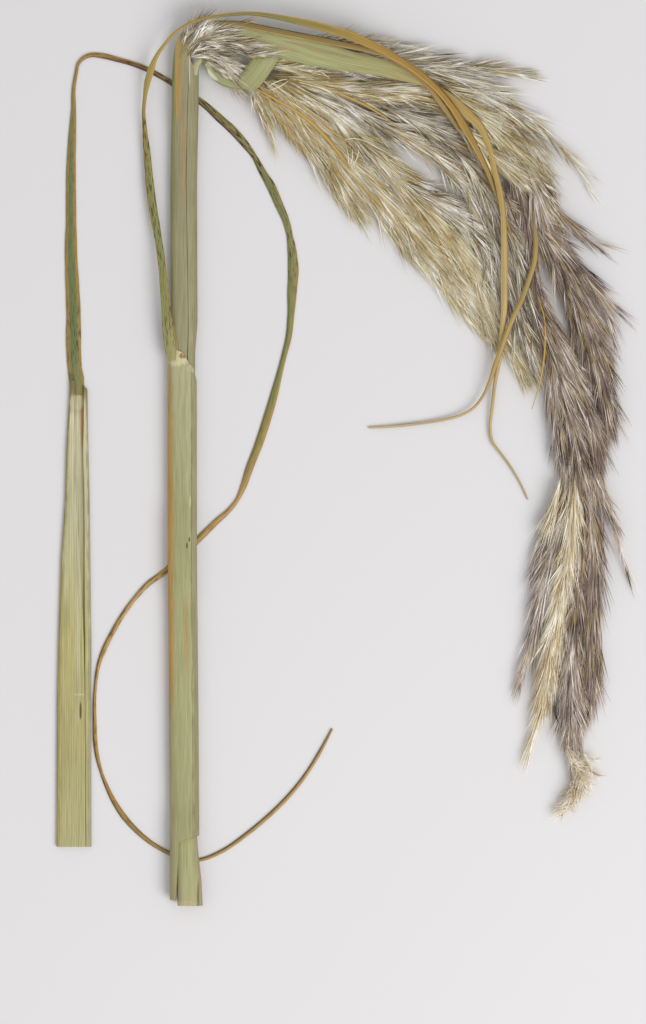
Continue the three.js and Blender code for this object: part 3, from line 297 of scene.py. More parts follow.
def leaf_material(name, extent, face, left, right, edge, dashes=(), patches=(), nerve=0.45):
    """Dried grass leaf. face, left and right are the colours of the middle and the two margins, by mm
    along for an extent in mm, by row for an extent that is a blade's rows. edge is where a margin's
    colour starts and is full, as a share of the half width; dashes tells how strong they are along
    the leaf. patches are (mm across, mm along, half width, half length, colour, strength); nerve is
    how far apart the veins lie, in mm."""
    length = extent
    if isinstance(extent, list):
        by_row = [[(run_of(extent, row),
         value) for row, value in stops] for stops in (face, left, right, dashes)]
        face, left, right, dashes = by_row
        length = run_of(extent, len(extent) - 1)
    made, node = fresh_material(name)
    on_leaf = node("ShaderNodeUVMap", uv_map="leaf")
    across, along, _ = node("ShaderNodeSeparateXYZ", {"Vector": on_leaf}).outputs
    noises = []
    for over, down, detail in LEAF_NOISES:
        drawn = node(VECTOR, {0: on_leaf, 1: (1 / over, 1 / down, 1)}, operation="MULTIPLY")
        noises.append(node("ShaderNodeTexNoise", {"Vector": drawn, "Scale": 1.0, "Detail": detail}))
    slow, fine, patchy, cut = noises
    share = node(MATH, {0: along, 1: length}, operation="DIVIDE")
    shifted = node(MATH, {0: slow, 1: DRIFT, 2: share}, operation="MULTIPLY_ADD")
    shifted = node(MATH, {0: shifted, 1: DRIFT / 2}, operation="SUBTRACT")
    colour = set_stops(node("ShaderNodeValToRGB", {"Fac": shifted}), face, length)
    margin = node("ShaderNodeAttribute", attribute_name="margin").outputs["Fac"]
    ragged = node(MATH, {0: patchy, 1: RAGGED, 2: -RAGGED / 2}, operation="MULTIPLY_ADD")
    for sign, stops in ((-1.0, left), (1.0, right)):
        reach = node(MATH, {0: margin, 1: sign, 2: ragged}, operation="MULTIPLY_ADD")
        ease = {"Value": reach, "From Min": edge[0], "From Max": edge[1]}
        eased = node("ShaderNodeMapRange", ease, interpolation_type="SMOOTHSTEP")
        side = set_stops(node("ShaderNodeValToRGB", {"Fac": shifted}), stops, length)
        colour = node("ShaderNodeMix", {0: eased, 6: colour, 7: side}, data_type="RGBA").outputs[2]
    for over, down, half_width, half_length, code, strength in patches:
        fit = {
            "Vector": on_leaf,
            "Location": (-over / half_width, -down / half_length, 0),
            "Scale": (1 / half_width, 1 / half_length, 1),
        }
        far = node(VECTOR, {0: node("ShaderNodeMapping", fit)}, operation="LENGTH").outputs["Value"]
        near = node(MATH, {0: patchy, 1: SPOT_RAGGED, 2: far}, operation="MULTIPLY_ADD")
        ease = {"Value": near, "From Min": 1.5, "From Max": 1.05, "To Max": strength}
        spot = node("ShaderNodeMapRange", ease, interpolation_type="SMOOTHSTEP")
        colour = node("ShaderNodeMix", {0: spot, 6: colour, 7: tint(code)}, data_type="RGBA").outputs[2]
    ease = {"Value": slow, "From Min": 0.4, "From Max": 0.7, "To Max": 0.25}
    aged = node("ShaderNodeMapRange", ease, interpolation_type="SMOOTHSTEP")
    colour = node("ShaderNodeMix", {0: aged, 6: colour, 7: tint(AGED_LEAF)}, data_type="RGBA").outputs[2]
    streaks = {"Value": fine, "From Min": 0.3, "From Max": 0.7, "To Min": 0.8, "To Max": 1.14}
    streaks = node("ShaderNodeMapRange", streaks)
    colour = node(VECTOR, {0: colour, "Scale": streaks}, operation="SCALE")
    turns = node(MATH, {0: across, 1: 2 * math.pi / nerve}, operation="MULTIPLY")
    veins = {"Value": node(MATH, {0: turns}, operation="SINE"),
     "From Min": -1, "To Min": 0.85, "To Max": 1.06}
    veins = node("ShaderNodeMapRange", veins)
    colour = node(VECTOR, {0: colour, "Scale": veins}, operation="SCALE")
    if dashes:
        where = set_stops(node("ShaderNodeValToRGB", {"Fac": share}), dashes, length)
        dash = node("ShaderNodeMapRange", {"Value": cut, "From Min": 0.54, "From Max": 0.6, "To Max": where})
        colour = node("ShaderNodeMix", {0: dash, 6: colour, 7: tint(DARK_DASH)}, data_type="RGBA").outputs[2]
    relief = node(MATH, {0: veins, 1: VEIN_RELIEF, 2: fine}, operation="MULTIPLY_ADD")
    bump = node("ShaderNodeBump", {"Height": relief, "Distance": 0.0001, "Strength": 0.5})
    surface = {"Base Color": colour, "Normal": bump, "Roughness": 0.55, "Specular IOR Level": 0.3}
    node("ShaderNodeOutputMaterial", {"Surface": node("ShaderNodeBsdfPrincipled", surface)})
    return made


# Straw green, duller at the sides, with coarse fibres: the eye reads a tough old stem.
culm_rind = leaf_material(
    "straw_green_culm_rind",
    60,
    [(0, "B9AD7E"), (6, "B3B183"), (30, "ABAA78"), (60, "A9A678")],
    [(0, "A9A27A"), (60, "A3A072")],
    [(0, "9C9270"), (60, "948C6A")],
    (0.45, 0.95),
    patches=[(5.9, 2, 0.5, 9, "6B5A3C", 0.8), (0.5, 1, 5, 1.2, "C9B98C", 0.6)],
    nerve=0.6,
)
# Plain dull straw, so that the axis stays quiet under the hairs.
axis_rind = leaf_material(
    "dull_straw_plume_axis",
    60,
    [(0, "978A6E"), (60, "978A6E")],
    [(0, "8A7D66"), (60, "8A7D66")],
    [(0, "8A7D66"), (60, "8A7D66")],
    (0.45, 0.95),
)
culm_angles = [2 * math.pi * (k + 0.5) / CULM_POINTS for k in range(CULM_POINTS)]
culm_rings = []
for along in [*range(0, CULM_LENGTH, CULM_STEP), CULM_LENGTH]:
    middle, width, bottom, top = read_rows(CULM_ROWS, along)
    ring = []
    for angle in culm_angles:
        over, up = oval(width / 2, bottom, top, angle)
        ring.append(((middle + over, along, rise_at(along) + up), middle + over, along, over / width * 2))
    culm_rings.append(ring)
for row, point, ahead, (width, height) in smooth_route(AXIS_ROWS, CULM_STEP):
    side = ahead.cross(UP).normalized()
    up = side.cross(ahead)
    ring = []
    for angle in culm_angles:
        offset = side * (width / 2 * math.cos(angle)) + up * (height / 2 * math.sin(angle))
        ring.append((tuple(point + offset), width / 2 * math.cos(angle), 60, math.cos(angle)))
    culm_rings.append(ring)
culm = grown_piece("culm_rind", [skin(culm_rings)], [culm_rind, axis_rind])
axis_start = place(12, 346, 0)
for face in culm.data.polygons:
    face.material_index = int(face.center.y > axis_start.y or face.center.x > axis_start.x)
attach(culm, "root")
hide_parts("culm")

# Lower leaf: its sheath is wrapped round the lower stem with one margin over the other, torn ragged
# at the bottom and orange along its left side. Its blade leaves the collar on the left, climbs
# beside the stem and turns over the top, tougher and more golden the further it goes.
WALL = 0.55  # mm, a sheath's wall
SHEATH_POINTS = 40
SHEATH_STEP = 2.0  # mm between rings
TEAR_DETAIL = 1.7
BLADE_SHARES = (-1, -0.92, -0.7, -0.4, -0.12, 0, 0.12, 0.4, 0.7, 0.92, 1)
THIN_MARGIN = 0.25  # mm that a blade is thinner at its margins
UNEVEN, UNEVEN_DETAIL = 0.06, 0.13  # how much a blade's width wavers, and how often
LOWER_SHEATH = [  # along, middle, width, underside, top, where the margins meet, gap between them
    (0, 0.2, 12.4, 0, STEM_TOP, 3.5, 0.16), (35, 0.3, 12.1, 0, STEM_TOP, 3.5, 0.16),
    (84, -0.1, 12.1, 0, STEM_TOP, 3.6, 0.16), (142, -0.6, 12.0, 0, STEM_TOP, 3.8, 0.16),
    (216, -0.7, 12.0, 0, STEM_TOP, 4.0, 0.16),
]
LOWER_TORN_END = [(-6.2, 2.5), (-3.3, 2), (-2.7, 26), (3.5, 28.5), (6.2, 29)]
LOWER_MOUTH = [(-6.2, 229), (-1.8, 228.5), (0.2, 227), (1.9, 224.5), (4.8, 220.5), (5.8, 215.5)]
LOWER_BLADE = [  # x, y, z, width, roll in degrees
    (-4.5, 224, 4.75, 4.4), (-5, 228, 4.9, 5.4), (-6, 234.5, 5.2, 5.1), (-7, 243, 5.3, 4.1),
    (-8, 253.5, 5.2, 3.5), (-9, 263.5, 4.6, 3.1), (-10.5, 274, 3.6, 3.1), (-12.5, 285.5, 2.8, 3.5),
    (-14, 296.5, 2.4, 3.4), (-15, 307.5, 2.2, 3.0, 6), (-16, 318, 2.4, 2.1, 14), (-16.5, 326.5, 2.8, 1.4, 20),
    (-16, 332.5, 3.2, 1.7, 12), (-15, 338.5, 4, 2.5, 4), (-13.5, 343.5, 4.8, 2.9, -6),
    (-11.5, 348.5, 5.8, 1.7, -14), (-8.5, 353, 7, 1.3, -16), (-4.5, 357.5, 8.4, 1.3, -14),
    (1, 361.5, 9.6, 1.2, -12), (8, 364, 10.6, 1.2, -10), (17.5, 365.5, 11.4, 1.3, -8), (28, 366, 12, 1.6, -6),
    (41, 364, 12.5, 2.3, -4), (54.5, 361, 12.9, 3.3), (66.5, 357.5, 13.2, 3.7), (76, 353.5, 13.3, 3.3),
    (87.5, 347.5, 13.3, 2.9), (96.5, 341.5, 13.3, 2.9), (104, 335, 13.1, 2.7), (109.5, 328.5, 12.6, 2.9),
    (115, 320, 11.9, 3.3), (120, 311, 11.2, 2.7), (124.5, 302, 10.4, 2.1), (129.5, 289, 9.4, 1.6),
    (133.5, 278, 9, 1.1), (136.5, 269.5, 8.6, 0.6),
]


def sheath_rings(rows, low, high, low_end, high_end, rise=rise_at, tear=0.0):
    """Rings of a sheath: a tube with its margins together along its front and torn or slanted ends."""
    rings = []
    count = round((high - low) / SHEATH_STEP)
    for i in range(count + 1):
        along = low + (high - low) * i / count
        middle, width, bottom, top, meet, gap = read_rows(rows, along)
        half = width / 2
        start = math.acos(math.copysign(abs(meet / half) ** (1 / OVAL_POWER), meet))
        end_rows = {0: low_end, count: high_end}.get(i)
        ring = []
        for inset, order in ((0.0, range(SHEATH_POINTS)), (WALL, reversed(range(SHEATH_POINTS)))):
            for k in order:
                angle = start + gap / 2 / half + (2 * math.pi - gap / half) * k / (SHEATH_POINTS - 1)
                over, up = oval(half - inset, bottom + inset, top - inset, angle)
                down = along
                if end_rows:
                    down = read_rows(end_rows, over)[0] + tear * noise.noise((over * TEAR_DETAIL, angle, i))
                corner = (middle + over, down, rise(along) + up)
                ring.append((corner, middle + over, down, over / half))
        rings.append(ring)
    return rings


def blade_rings(rows, step=BLADE_STEP):
    """Rings of a leaf blade: flat below, a low fold along the middle, thin at both margins."""
    rings, run = [], 0.0
    route = smooth_route(rows, step)
    for i, (row, point, ahead, (width, roll)) in enumerate(route):
        run += (point - route[i - 1][1]).length if i else 0.0
        side = ahead.cross(UP).normalized()
        up = side.cross(ahead)
        half = width / 2 * (1 + UNEVEN * noise.noise((run * UNEVEN_DETAIL, width, 3.0)))
        tilt = -math.radians(roll)
        lean = side * math.cos(tilt) - up * math.sin(tilt)
        rear = side * math.sin(tilt) + up * math.cos(tilt)
        ring = []
        for level, order in ((1, BLADE_SHARES), (0, reversed(BLADE_SHARES))):
            for share in order:
                crown = (BLADE + KEEL * (1 - abs(share)) - THIN_MARGIN * share**6) * level
                corner = point + lean * (half * share) + rear * crown
                ring.append((tuple(corner), half * share, run, share))
        rings.append(ring)
    return rings


# Olive with one orange flank and a stained collar: the eye reads a dry sheath, worn where it bends.
lower_sheath_skin = leaf_material(
    "olive_leaf_sheath",
    230,
    [(0, "B4AE82"), (30, "A8A578"), (80, "B0AE7F"), (150, "A9A778"), (200, "B3B188"), (226, "B9B38C")],
    [(0, "A9A27A"), (75, "ABA67A"), (95, "C29C58"), (170, "C59A54"), (205, "B79E66"), (228, "B5A97C")],
    [(0, "98916F"), (60, "8F8A66"), (140, "98946F"), (228, "9A9570")],
    (0.54, 0.74),
    patches=[
        (1.0, 112, 0.9, 17, "B98F58", 0.55), (1.3, 148, 0.35, 1.3, "3F3222", 0.9),
        (2.3, 150.5, 0.4, 0.9, "54432B", 0.8), (2.6, 166, 0.5, 2.6, "D3CFAE", 0.5),
        (-2.6, 225.4, 5.0, 3.8, "DDD5AC", 0.9), (-1.1, 226.0, 0.9, 1.2, "A5722C", 0.85),
        (0.1, 225.6, 0.6, 0.8, "9A6422", 0.8), (3.4, 221, 2.2, 2.0, "C9C4A2", 0.7),
        (-5.4, 14, 0.8, 14, "A9A27C", 0.5),
    ],
)
# Green at the collar and gold towards the tip, with dark dashes: the eye reads a leaf dried in the sun.
lower_blade_skin = leaf_material(
    "golden_green_flag_blade",
    LOWER_BLADE,
    [(0, "A8A26E"), (3, "8F9158"), (8, "88905A"), (11, "9C9050"), (14, "A99550"), (17, "B79A55"),
     (20, "9A8B4C"), (22, "87894E"), (25, "AE9048"), (28, "AD863A"), (31, "A8884A"), (35, "B79E66")],
    [(0, "A59C6C"), (3, "A19A62"), (7, "A58A50"), (10, "B0884A"), (12, "A3A066"), (15, "A8985A"),
     (20, "BD9552"), (24, "C9A052"), (28, "7E5C2C"), (35, "8F6F3E")],
    [(0, "A58A50"), (4, "A0864A"), (6, "8E8A55"), (11, "A98A4C"), (15, "C09A4E"), (20, "6E6438"),
     (23, "B08C44"), (28, "C9A05A"), (35, "BCA066")],
    (0.35, 0.8),
    dashes=[(0, 0.1), (2.6, 0.8), (4.2, 0.2), (6, 0.8), (8, 0.7), (10.6, 0.8), (11.5, 0.0), (35, 0.1)],
    nerve=0.75,
)
lower_leaf = grown_piece(
    "lower_leaf_sheath_and_blade",
    [
        skin(sheath_rings(LOWER_SHEATH, 30, 214, LOWER_TORN_END, LOWER_MOUTH, tear=0.9)),
        skin(blade_rings(LOWER_BLADE)),
    ],
    [lower_sheath_skin, lower_blade_skin],
)
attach(lower_leaf, "root")
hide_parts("lower_leaf")

# Upper leaf: a greyish sheath round the upper stem that ends in a torn point. A strip of its torn top
# folds down and back up in a zigzag, then lies over the plume as a wide pale green strap, whose
# narrow straw-coloured end hangs down over the plume.
FOLD_STEP = 0.8  # mm between the rings of a folded strip
UPPER_SHEATH = [
    (200, -0.7, 10.2, 0.9, 4.7, 2.0, 0.3), (228, -0.4, 10.2, 0.9, 4.7, 2.0, 0.3),
    (240, 0.1, 11.0, 0, 5.0, 1.8, 0.16), (298, -0.1, 11.0, 0, 5.0, 1.0, 0.16),
    (331, 0.6, 11.0, 0, 5.0, 1.0, 0.16), (348, 0.7, 11.0, 0, 5.0, 2.0, 0.16),
]
UPPER_TORN_TOP = [(-5.5, 341), (-4.6, 351), (-3, 356.5), (-0.5, 360.5), (1.6, 351), (2.6, 346), (5.5, 345)]
FOLDED_DOWN = [
    (4.6, 341.5, 4.8, 2.2), (5.4, 345.6, 5.6, 2.8), (7.2, 347.6, 5.9, 2.6), (9.4, 346.6, 5.9, 2.8),
    (12, 341.8, 6, 3.7), (17.5, 338.2, 6.8, 3.9), (25.5, 336.8, 8, 3.6),
]
FOLDED_BACK = [(24.8, 336.3, 8.2, 8.6), (27.5, 339.2, 8.7, 9.4), (31.5, 344.5, 9.6, 9.6),
 (35.5, 350.5, 10.5, 9.4)]
UPPER_BLADE = [
    (-0.5, 348, 5.6, 3.3), (2.5, 353.5, 5.9, 5.2), (6.5, 357, 6.5, 7.0), (12.5, 358.5, 7.5, 7.4),
    (19, 358.5, 8.7, 8.6), (26.5, 357, 9.8, 10.7), (35.5, 354.5, 10.6, 11.5), (46.5, 352, 10.8, 11.5),
    (57.5, 349, 10.8, 10.7), (68.5, 346.5, 10.8, 8.2), (85, 343, 10.8, 7.0), (93, 340, 10.9, 4.5),
    (99, 337.5, 11, 2.5), (104, 335.5, 11.2, 1.6), (108, 333, 11.4, 2.3), (112, 329.5, 11.5, 3.3),
    (117, 324.5, 11.5, 3.9), (121, 320.5, 11.5, 3.5), (124, 315, 11.5, 2.9), (126, 309, 11.6, 2.5),
    (127.5, 302, 11.7, 2.5), (129.5, 293.5, 11.6, 2.5), (131, 284, 11, 2.3), (131.5, 272, 9.8, 2.7),
    (131.5, 257.5, 8.4, 2.9), (131.5, 245, 6.8, 2.7), (130.5, 232.5, 5.2, 2.1), (129.5, 223.5, 3.8, 1.9),
    (128, 215.5, 2.8, 1.6), (127, 206, 1.8, 1.4), (126, 196.5, 1.2, 1.2), (127, 190.5, 1, 1.2),
    (129.5, 187, 0.8, 1.1), (134, 181, 0.6, 0.9), (138.5, 173.5, 0.4, 0.8), (141.5, 167, 0.2, 0.6),
]
# Greyer and duller than the lower sheath, with an orange scar up to its point.
upper_sheath_skin = leaf_material(
    "greyish_olive_leaf_sheath",
    362,
    [(0, "A29D78"), (222, "A49E7B"), (260, "A19C78"), (300, "9C9676"), (335, "A09876"), (362, "A9A07C")],
    [(0, "968E6C"), (240, "948D68"), (300, "92925F"), (335, "949660"), (362, "A0A162")],
    [(0, "918A6C"), (330, "8E8A66"), (345, "90945F"), (362, "8E8468")],
    (0.55, 0.9),
    patches=[
        (-0.2, 308, 0.8, 24, "B58E5C", 0.6), (-2.3, 341, 1.3, 19, "BF9A58", 0.85),
        (2.2, 345, 0.5, 9, "DCD6BA", 0.8), (3.2, 352, 1.6, 4, "C9C1A4", 0.6),
    ],
)
# The palest green of all with soft brown bruises, then straw: the strap stands out from the plume.
strap_skin = leaf_material(
    "pale_green_strap_leaf",
    UPPER_BLADE,
    [(0, "A39A72"), (3, "A8A577"), (6, "B2B280"), (9, "AFAD7A"), (11, "AFA56F"), (13, "AE9A62"),
     (16, "BC9E5C"), (21, "BE9F5E"), (27, "C9B07A"), (35, "C6B284")],
    [(0, "A19068"), (4, "A89A6C"), (8, "9C9A68"), (12, "9A8450"), (16, "93763C"), (24, "A88A50"),
     (35, "B59E70")],
    [(0, "96895F"), (4, "9A9A66"), (8, "A2A572"), (12, "B39C64"), (16, "CBB27A"), (24, "C4AA70"),
     (35, "B8A27A")],
    (0.6, 0.95),
    patches=[
        (1.5, 40, 1.2, 15, "A98E63", 0.5), (-1.6, 62, 1.0, 16, "A08B66", 0.5),
         (2.6, 22, 1.4, 8, "8C7A5A", 0.5),
    ],
    nerve=0.8,
)
# Pale torn edges beside a dark crease: the eye reads a strip that was folded by force.
folded_skin = leaf_material(
    "torn_green_sheath_strip",
    60,
    [(0, "B9B491"), (14, "AFB183"), (60, "A9AC7C")],
    [(0, "C9C3A2"), (60, "B6B68C")],
    [(0, "8E8A60"), (60, "9C9C6C")],
    (0.6, 0.95),
    patches=[
        (0.4, 8.5, 1.4, 1.4, "5C5836", 0.7), (0.9, 15.5, 0.9, 3, "E4E0C8", 0.9),
         (-1.2, 13, 0.6, 3, "7C7650", 0.6),
    ],
)
# An even green that is shaded along its left, where the strip turns under the strap.
turned_skin = leaf_material(
    "green_turned_back_strip",
    40,
    [(0, "A5A672"), (20, "B0B182"), (40, "A9AA78")],
    [(0, "7C7A4C"), (40, "A2A26E")],
    [(0, "9C9A68"), (40, "A2A26E")],
    (0.6, 0.95),
    nerve=0.8,
)
upper_leaf = grown_piece(
    "upper_leaf_sheath_and_strap",
    [
        skin(sheath_rings(UPPER_SHEATH, 200, 338, [(0, 200)], UPPER_TORN_TOP, tear=0.7)),
        skin(blade_rings(UPPER_BLADE)),
        skin(blade_rings(FOLDED_DOWN, FOLD_STEP)),
        skin(blade_rings(FOLDED_BACK, FOLD_STEP)),
    ],
    [upper_sheath_skin, strap_skin, folded_skin, turned_skin],
)
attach(upper_leaf, "root")
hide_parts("upper_leaf")

# Third leaf: only its narrow blade shows. It lies on the strap, dives into the plume and comes out
# again as the longest tip, orange like dry straw with darker margins. Along the strap its dim olive
# middle and near-black left margin are painted shade.
THIRD_BLADE = [
    (9, 361, 8.5, 1.6), (15.5, 362.2, 9.6, 2.0), (23, 362, 10.6, 2.1), (32.5, 360, 11.7, 2.5),
    (46.5, 357.2, 12, 2.5), (57.5, 355, 12, 2.5), (68.5, 352.8, 12, 2.5), (77, 351, 12, 2.5),
    (84, 348.8, 12, 2.1), (90, 345, 12.1, 2.1), (97, 339.5, 12.1, 2.1), (102.5, 333.3, 12, 2.1),
    (108, 326, 10.6, 2.1), (114.5, 317, 8.8, 2.1), (122.5, 308.5, 8.1, 2.1), (131, 302, 8.1, 2.1),
    (137.5, 297.5, 8.3, 2.1), (141.5, 293.5, 8.9, 1.9), (143.5, 289, 9.4, 1.9), (143.5, 282, 9.6, 1.9),
    (144.5, 273, 9.6, 2.1), (144, 265, 9.5, 2.1), (142, 258, 9.4, 2.1), (139, 249.5, 9, 2.1),
    (134.5, 240, 8.1, 2.1), (131, 230.5, 6.6, 2.0), (128, 222.5, 5.2, 1.9), (126, 216, 4, 1.6),
    (123, 209.5, 2.8, 1.3), (119, 204.5, 2, 1.2), (113.5, 201.5, 1.4, 1.1), (105.5, 199.5, 0.9, 1.1),
    (95, 198, 0.6, 1.1), (85, 197, 0.4, 1.0), (76, 196.5, 0.2, 0.7),
]
# Orange straw between a dark and a bright margin: the narrow blade reads as a sharp line. The
# near-black left margin along the strap is painted shade.
third_blade_skin_painted_shade = leaf_material(
    "orange_straw_blade_with_painted_shade",
    THIRD_BLADE,
    # middle, then the margins; along the strap the dim olive middle and near-black left margin are painted
    # shade
    [(0, "8A7A4C"), (3, "8C7846"), (9, "92794A"), (11, "A98F5C"), (16, "9C8458"), (20, "AE9456"),
     (26, "B59A5C"), (29, "C9B27E"), (34, "CDB98C")],
    [(0, "3F3523"), (9, "423623"), (11, "6E5A3A"), (17, "7E6A40"), (24, "8F7440"), (29, "A88C58"),
     (34, "B09A70")],
    [(0, "C79A50"), (10, "B9925A"), (17, "A68A50"), (24, "BFA05E"), (29, "BFA470"), (34, "C3AC80")],
    (0.55, 0.95),
    nerve=0.9,
)
third_blade = grown_piece("third_leaf_blade_fine", [skin(blade_rings(THIRD_BLADE))], [third_blade_skin_painted_shade])
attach(third_blade, "root")
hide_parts("third_leaf_blade")

# Basal leaf: the plant's lowest leaf, laid beside the stem. Its sheath was cut off square and lies
# open with its left margin turned in. Past the collar the long narrow blade winds under the stem.
BASAL_TOP = 1.9
BASAL_SHEATH = [
    (24, -45.3, 14.4, 0, BASAL_TOP, 4.9, 0.4), (84, -45.2, 14.0, 0, BASAL_TOP, 4.5, 0.4),
    (109, -44.9, 13.6, 0, BASAL_TOP, 4.0, 0.8), (142, -44.6, 12.1, 0, BASAL_TOP, 2.9, 2.4),
    (167, -43.9, 10.1, 0, BASAL_TOP, 1.6, 3.2), (187, -43.9, 9.1, 0, BASAL_TOP, 0.8, 3.4),
    (208, -43.5, 7.6, 0, BASAL_TOP, 0.7, 3.6), (214, -43.3, 6.8, 0, BASAL_TOP, 0.7, 3.6),
]
BASAL_MOUTH = [(-3.4, 219), (-1.5, 215.5), (1.5, 214.5), (3.4, 212.5)]
BASAL_BLADE = [  # x, y, width; it lies on the sheet all along
    (-44, 210, 5.6), (-44.3, 216.5, 6.2), (-45, 221, 5.8), (-45.5, 230.5, 6.2), (-45.5, 243, 5.8),
    (-46, 255.5, 5.6), (-46.5, 267.5, 5.2), (-46.5, 280, 4.4), (-46.5, 304.5, 3.8), (-46, 317, 3.1),
    (-45.5, 327.5, 2.0), (-45.5, 335.5, 1.5), (-44.5, 342, 1.3), (-43.5, 346.5, 1.3), (-41, 349, 1.6),
    (-38, 350, 1.8), (-33, 349.5, 2.2), (-27, 348, 2.1), (-21.5, 346.5, 2.1), (-15, 344, 2.1),
    (-3.5, 337.5, 2.1), (8.5, 329.5, 2.6), (14.5, 324, 3.3), (19.5, 319.5, 3.5), (24.5, 314, 3.1),
    (29, 308, 2.2), (32.5, 301.5, 2.9), (36, 295.5, 3.7), (39, 288.5, 3.5), (42, 281.5, 2.9),
    (43.5, 275.5, 2.5), (44.5, 269, 3.7), (45, 261.5, 4.3), (44.5, 252.5, 3.9), (44, 243, 2.7),
    (43, 233.5, 2.5), (41, 225.5, 2.1), (39, 217.5, 2.5), (36.5, 208, 3.3), (33.5, 198, 3.5),
    (30.5, 189, 3.3), (27, 180, 3.1), (24.5, 172.5, 2.6), (22, 167, 1.6), (18.5, 162.5, 1.9),
    (13, 157.5, 2.5), (2.5, 147, 2.5), (-9, 136.5, 2.3), (-15, 132, 2.1), (-20, 126.5, 1.8),
    (-24.5, 120.5, 1.8), (-29, 113, 2.0), (-33, 105, 2.0), (-35.5, 97.5, 1.5), (-36.5, 90, 1.2),
    (-36.9, 83, 1.3), (-36.8, 75.5, 1.5), (-36.6, 68, 1.7), (-35.7, 61, 1.6), (-34, 54.5, 1.2),
    (-31.5, 48, 1.6), (-28.5, 42, 2.1), (-24.5, 36, 2.3), (-19.5, 30.5, 2.1), (-13.5, 25.5, 1.8),
    (-6.5, 21.5, 1.8), (0, 18.8, 1.6), (6.5, 18.5, 1.4), (15.5, 22, 1.6), (27, 30, 1.7), (40, 41.5, 1.7),
    (49, 52, 1.6), (56, 63, 1.5), (61, 72.5, 0.8),
]
BASAL_BLADE = [(x, y, 0, width) for x, y, width in BASAL_BLADE]
# The yellowest sheath, bleached to cream below a brown collar: it reads as old and open to the light.
basal_sheath_skin = leaf_material(
    "yellow_olive_open_sheath",
    220,
    [(0, "BBB78A"), (60, "B6AE78"), (110, "BFB77C"), (160, "C9C49E"), (200, "D6D0AC"), (212, "8A7A50"),
     (220, "7D7A50")],
    [(0, "ABA05F"), (110, "A89C5E"), (190, "9C9560"), (220, "7C7A50")],
    [(0, "A39C82"), (110, "A59E80"), (200, "9C9668"), (220, "76764E")],
    (0.7, 0.95),
    patches=[
        (-43.4, 124, 0.9, 50, "C9C3A0", 0.7), (-41.9, 200, 0.9, 13, "B98F58", 0.8),
        (-43.2, 86.7, 2.2, 0.45, "D8D2B4", 0.75), (-42.6, 80, 0.5, 4, "55462D", 0.9),
        (-44.2, 207, 3.4, 3.4, "D8CFA8", 0.7), (-44, 216.3, 2.6, 0.5, "4E3A22", 0.9),
    ],
    nerve=0.7,
)
# Olive, wine red at the upper bend, straw below it, with many dark dashes: a leaf that died slowly.
basal_blade_skin = leaf_material(
    "olive_winding_blade",
    BASAL_BLADE,
    [(0, "8E8A5C"), (3, "6E7C4E"), (8, "727C50"), (11, "A08A4E"), (15, "A9854A"), (18, "7A5038"),
     (20, "8B8050"), (23, "8A8A56"), (27, "7E8452"), (31, "8E8C5A"), (37, "82884F"), (41, "A08E50"),
     (43, "BC9A60"), (48, "BC9C62"), (55, "B8924E"), (60, "A8823E"), (66, "A98C58"), (73, "B39560")],
    [(0, "A38A54"), (4, "A98648"), (9, "9A8B50"), (13, "A98C50"), (17, "AE8C50"), (22, "8E7A46"),
     (28, "968650"), (34, "9C8648"), (40, "C0904A"), (44, "A88450"), (48, "B89860"), (56, "B5924E"),
     (65, "8A6A3C"), (68, "5A4326"), (73, "5E482C")],
    [(0, "97884E"), (6, "A88644"), (12, "A9854A"), (18, "5E2F2A"), (24, "6A4A38"), (28, "8C8A58"),
     (36, "75794C"), (41, "8E7A48"), (43, "B8925A"), (48, "B08E56"), (53, "6E5430"), (60, "4E3A20"),
     (66, "A88E5A"), (68, "C3A26C"), (73, "C3A26C")],
    (0.3, 0.75),
    dashes=[(0, 0.2), (1.4, 0.2), (3, 0.7), (5, 0.2), (16, 0.3), (18, 0.8), (20, 0.95), (24, 0.95), (26, 0.9),
            (28, 0.4), (31, 0.8), (33, 0.2), (44, 0.2), (47, 0.6), (52, 0.5), (60, 0.4), (66, 0.2),
             (73, 0.2)],
)
basal_leaf = grown_piece(
    "basal_leaf_sheath_and_blade",
    [
        skin(sheath_rings(BASAL_SHEATH, 24, 211, [(0, 24)], BASAL_MOUTH, rise=lambda along: 0)),
        skin(blade_rings(BASAL_BLADE)),
    ],
    [basal_sheath_skin, basal_blade_skin],
)
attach(basal_leaf, "root")
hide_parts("basal_leaf")

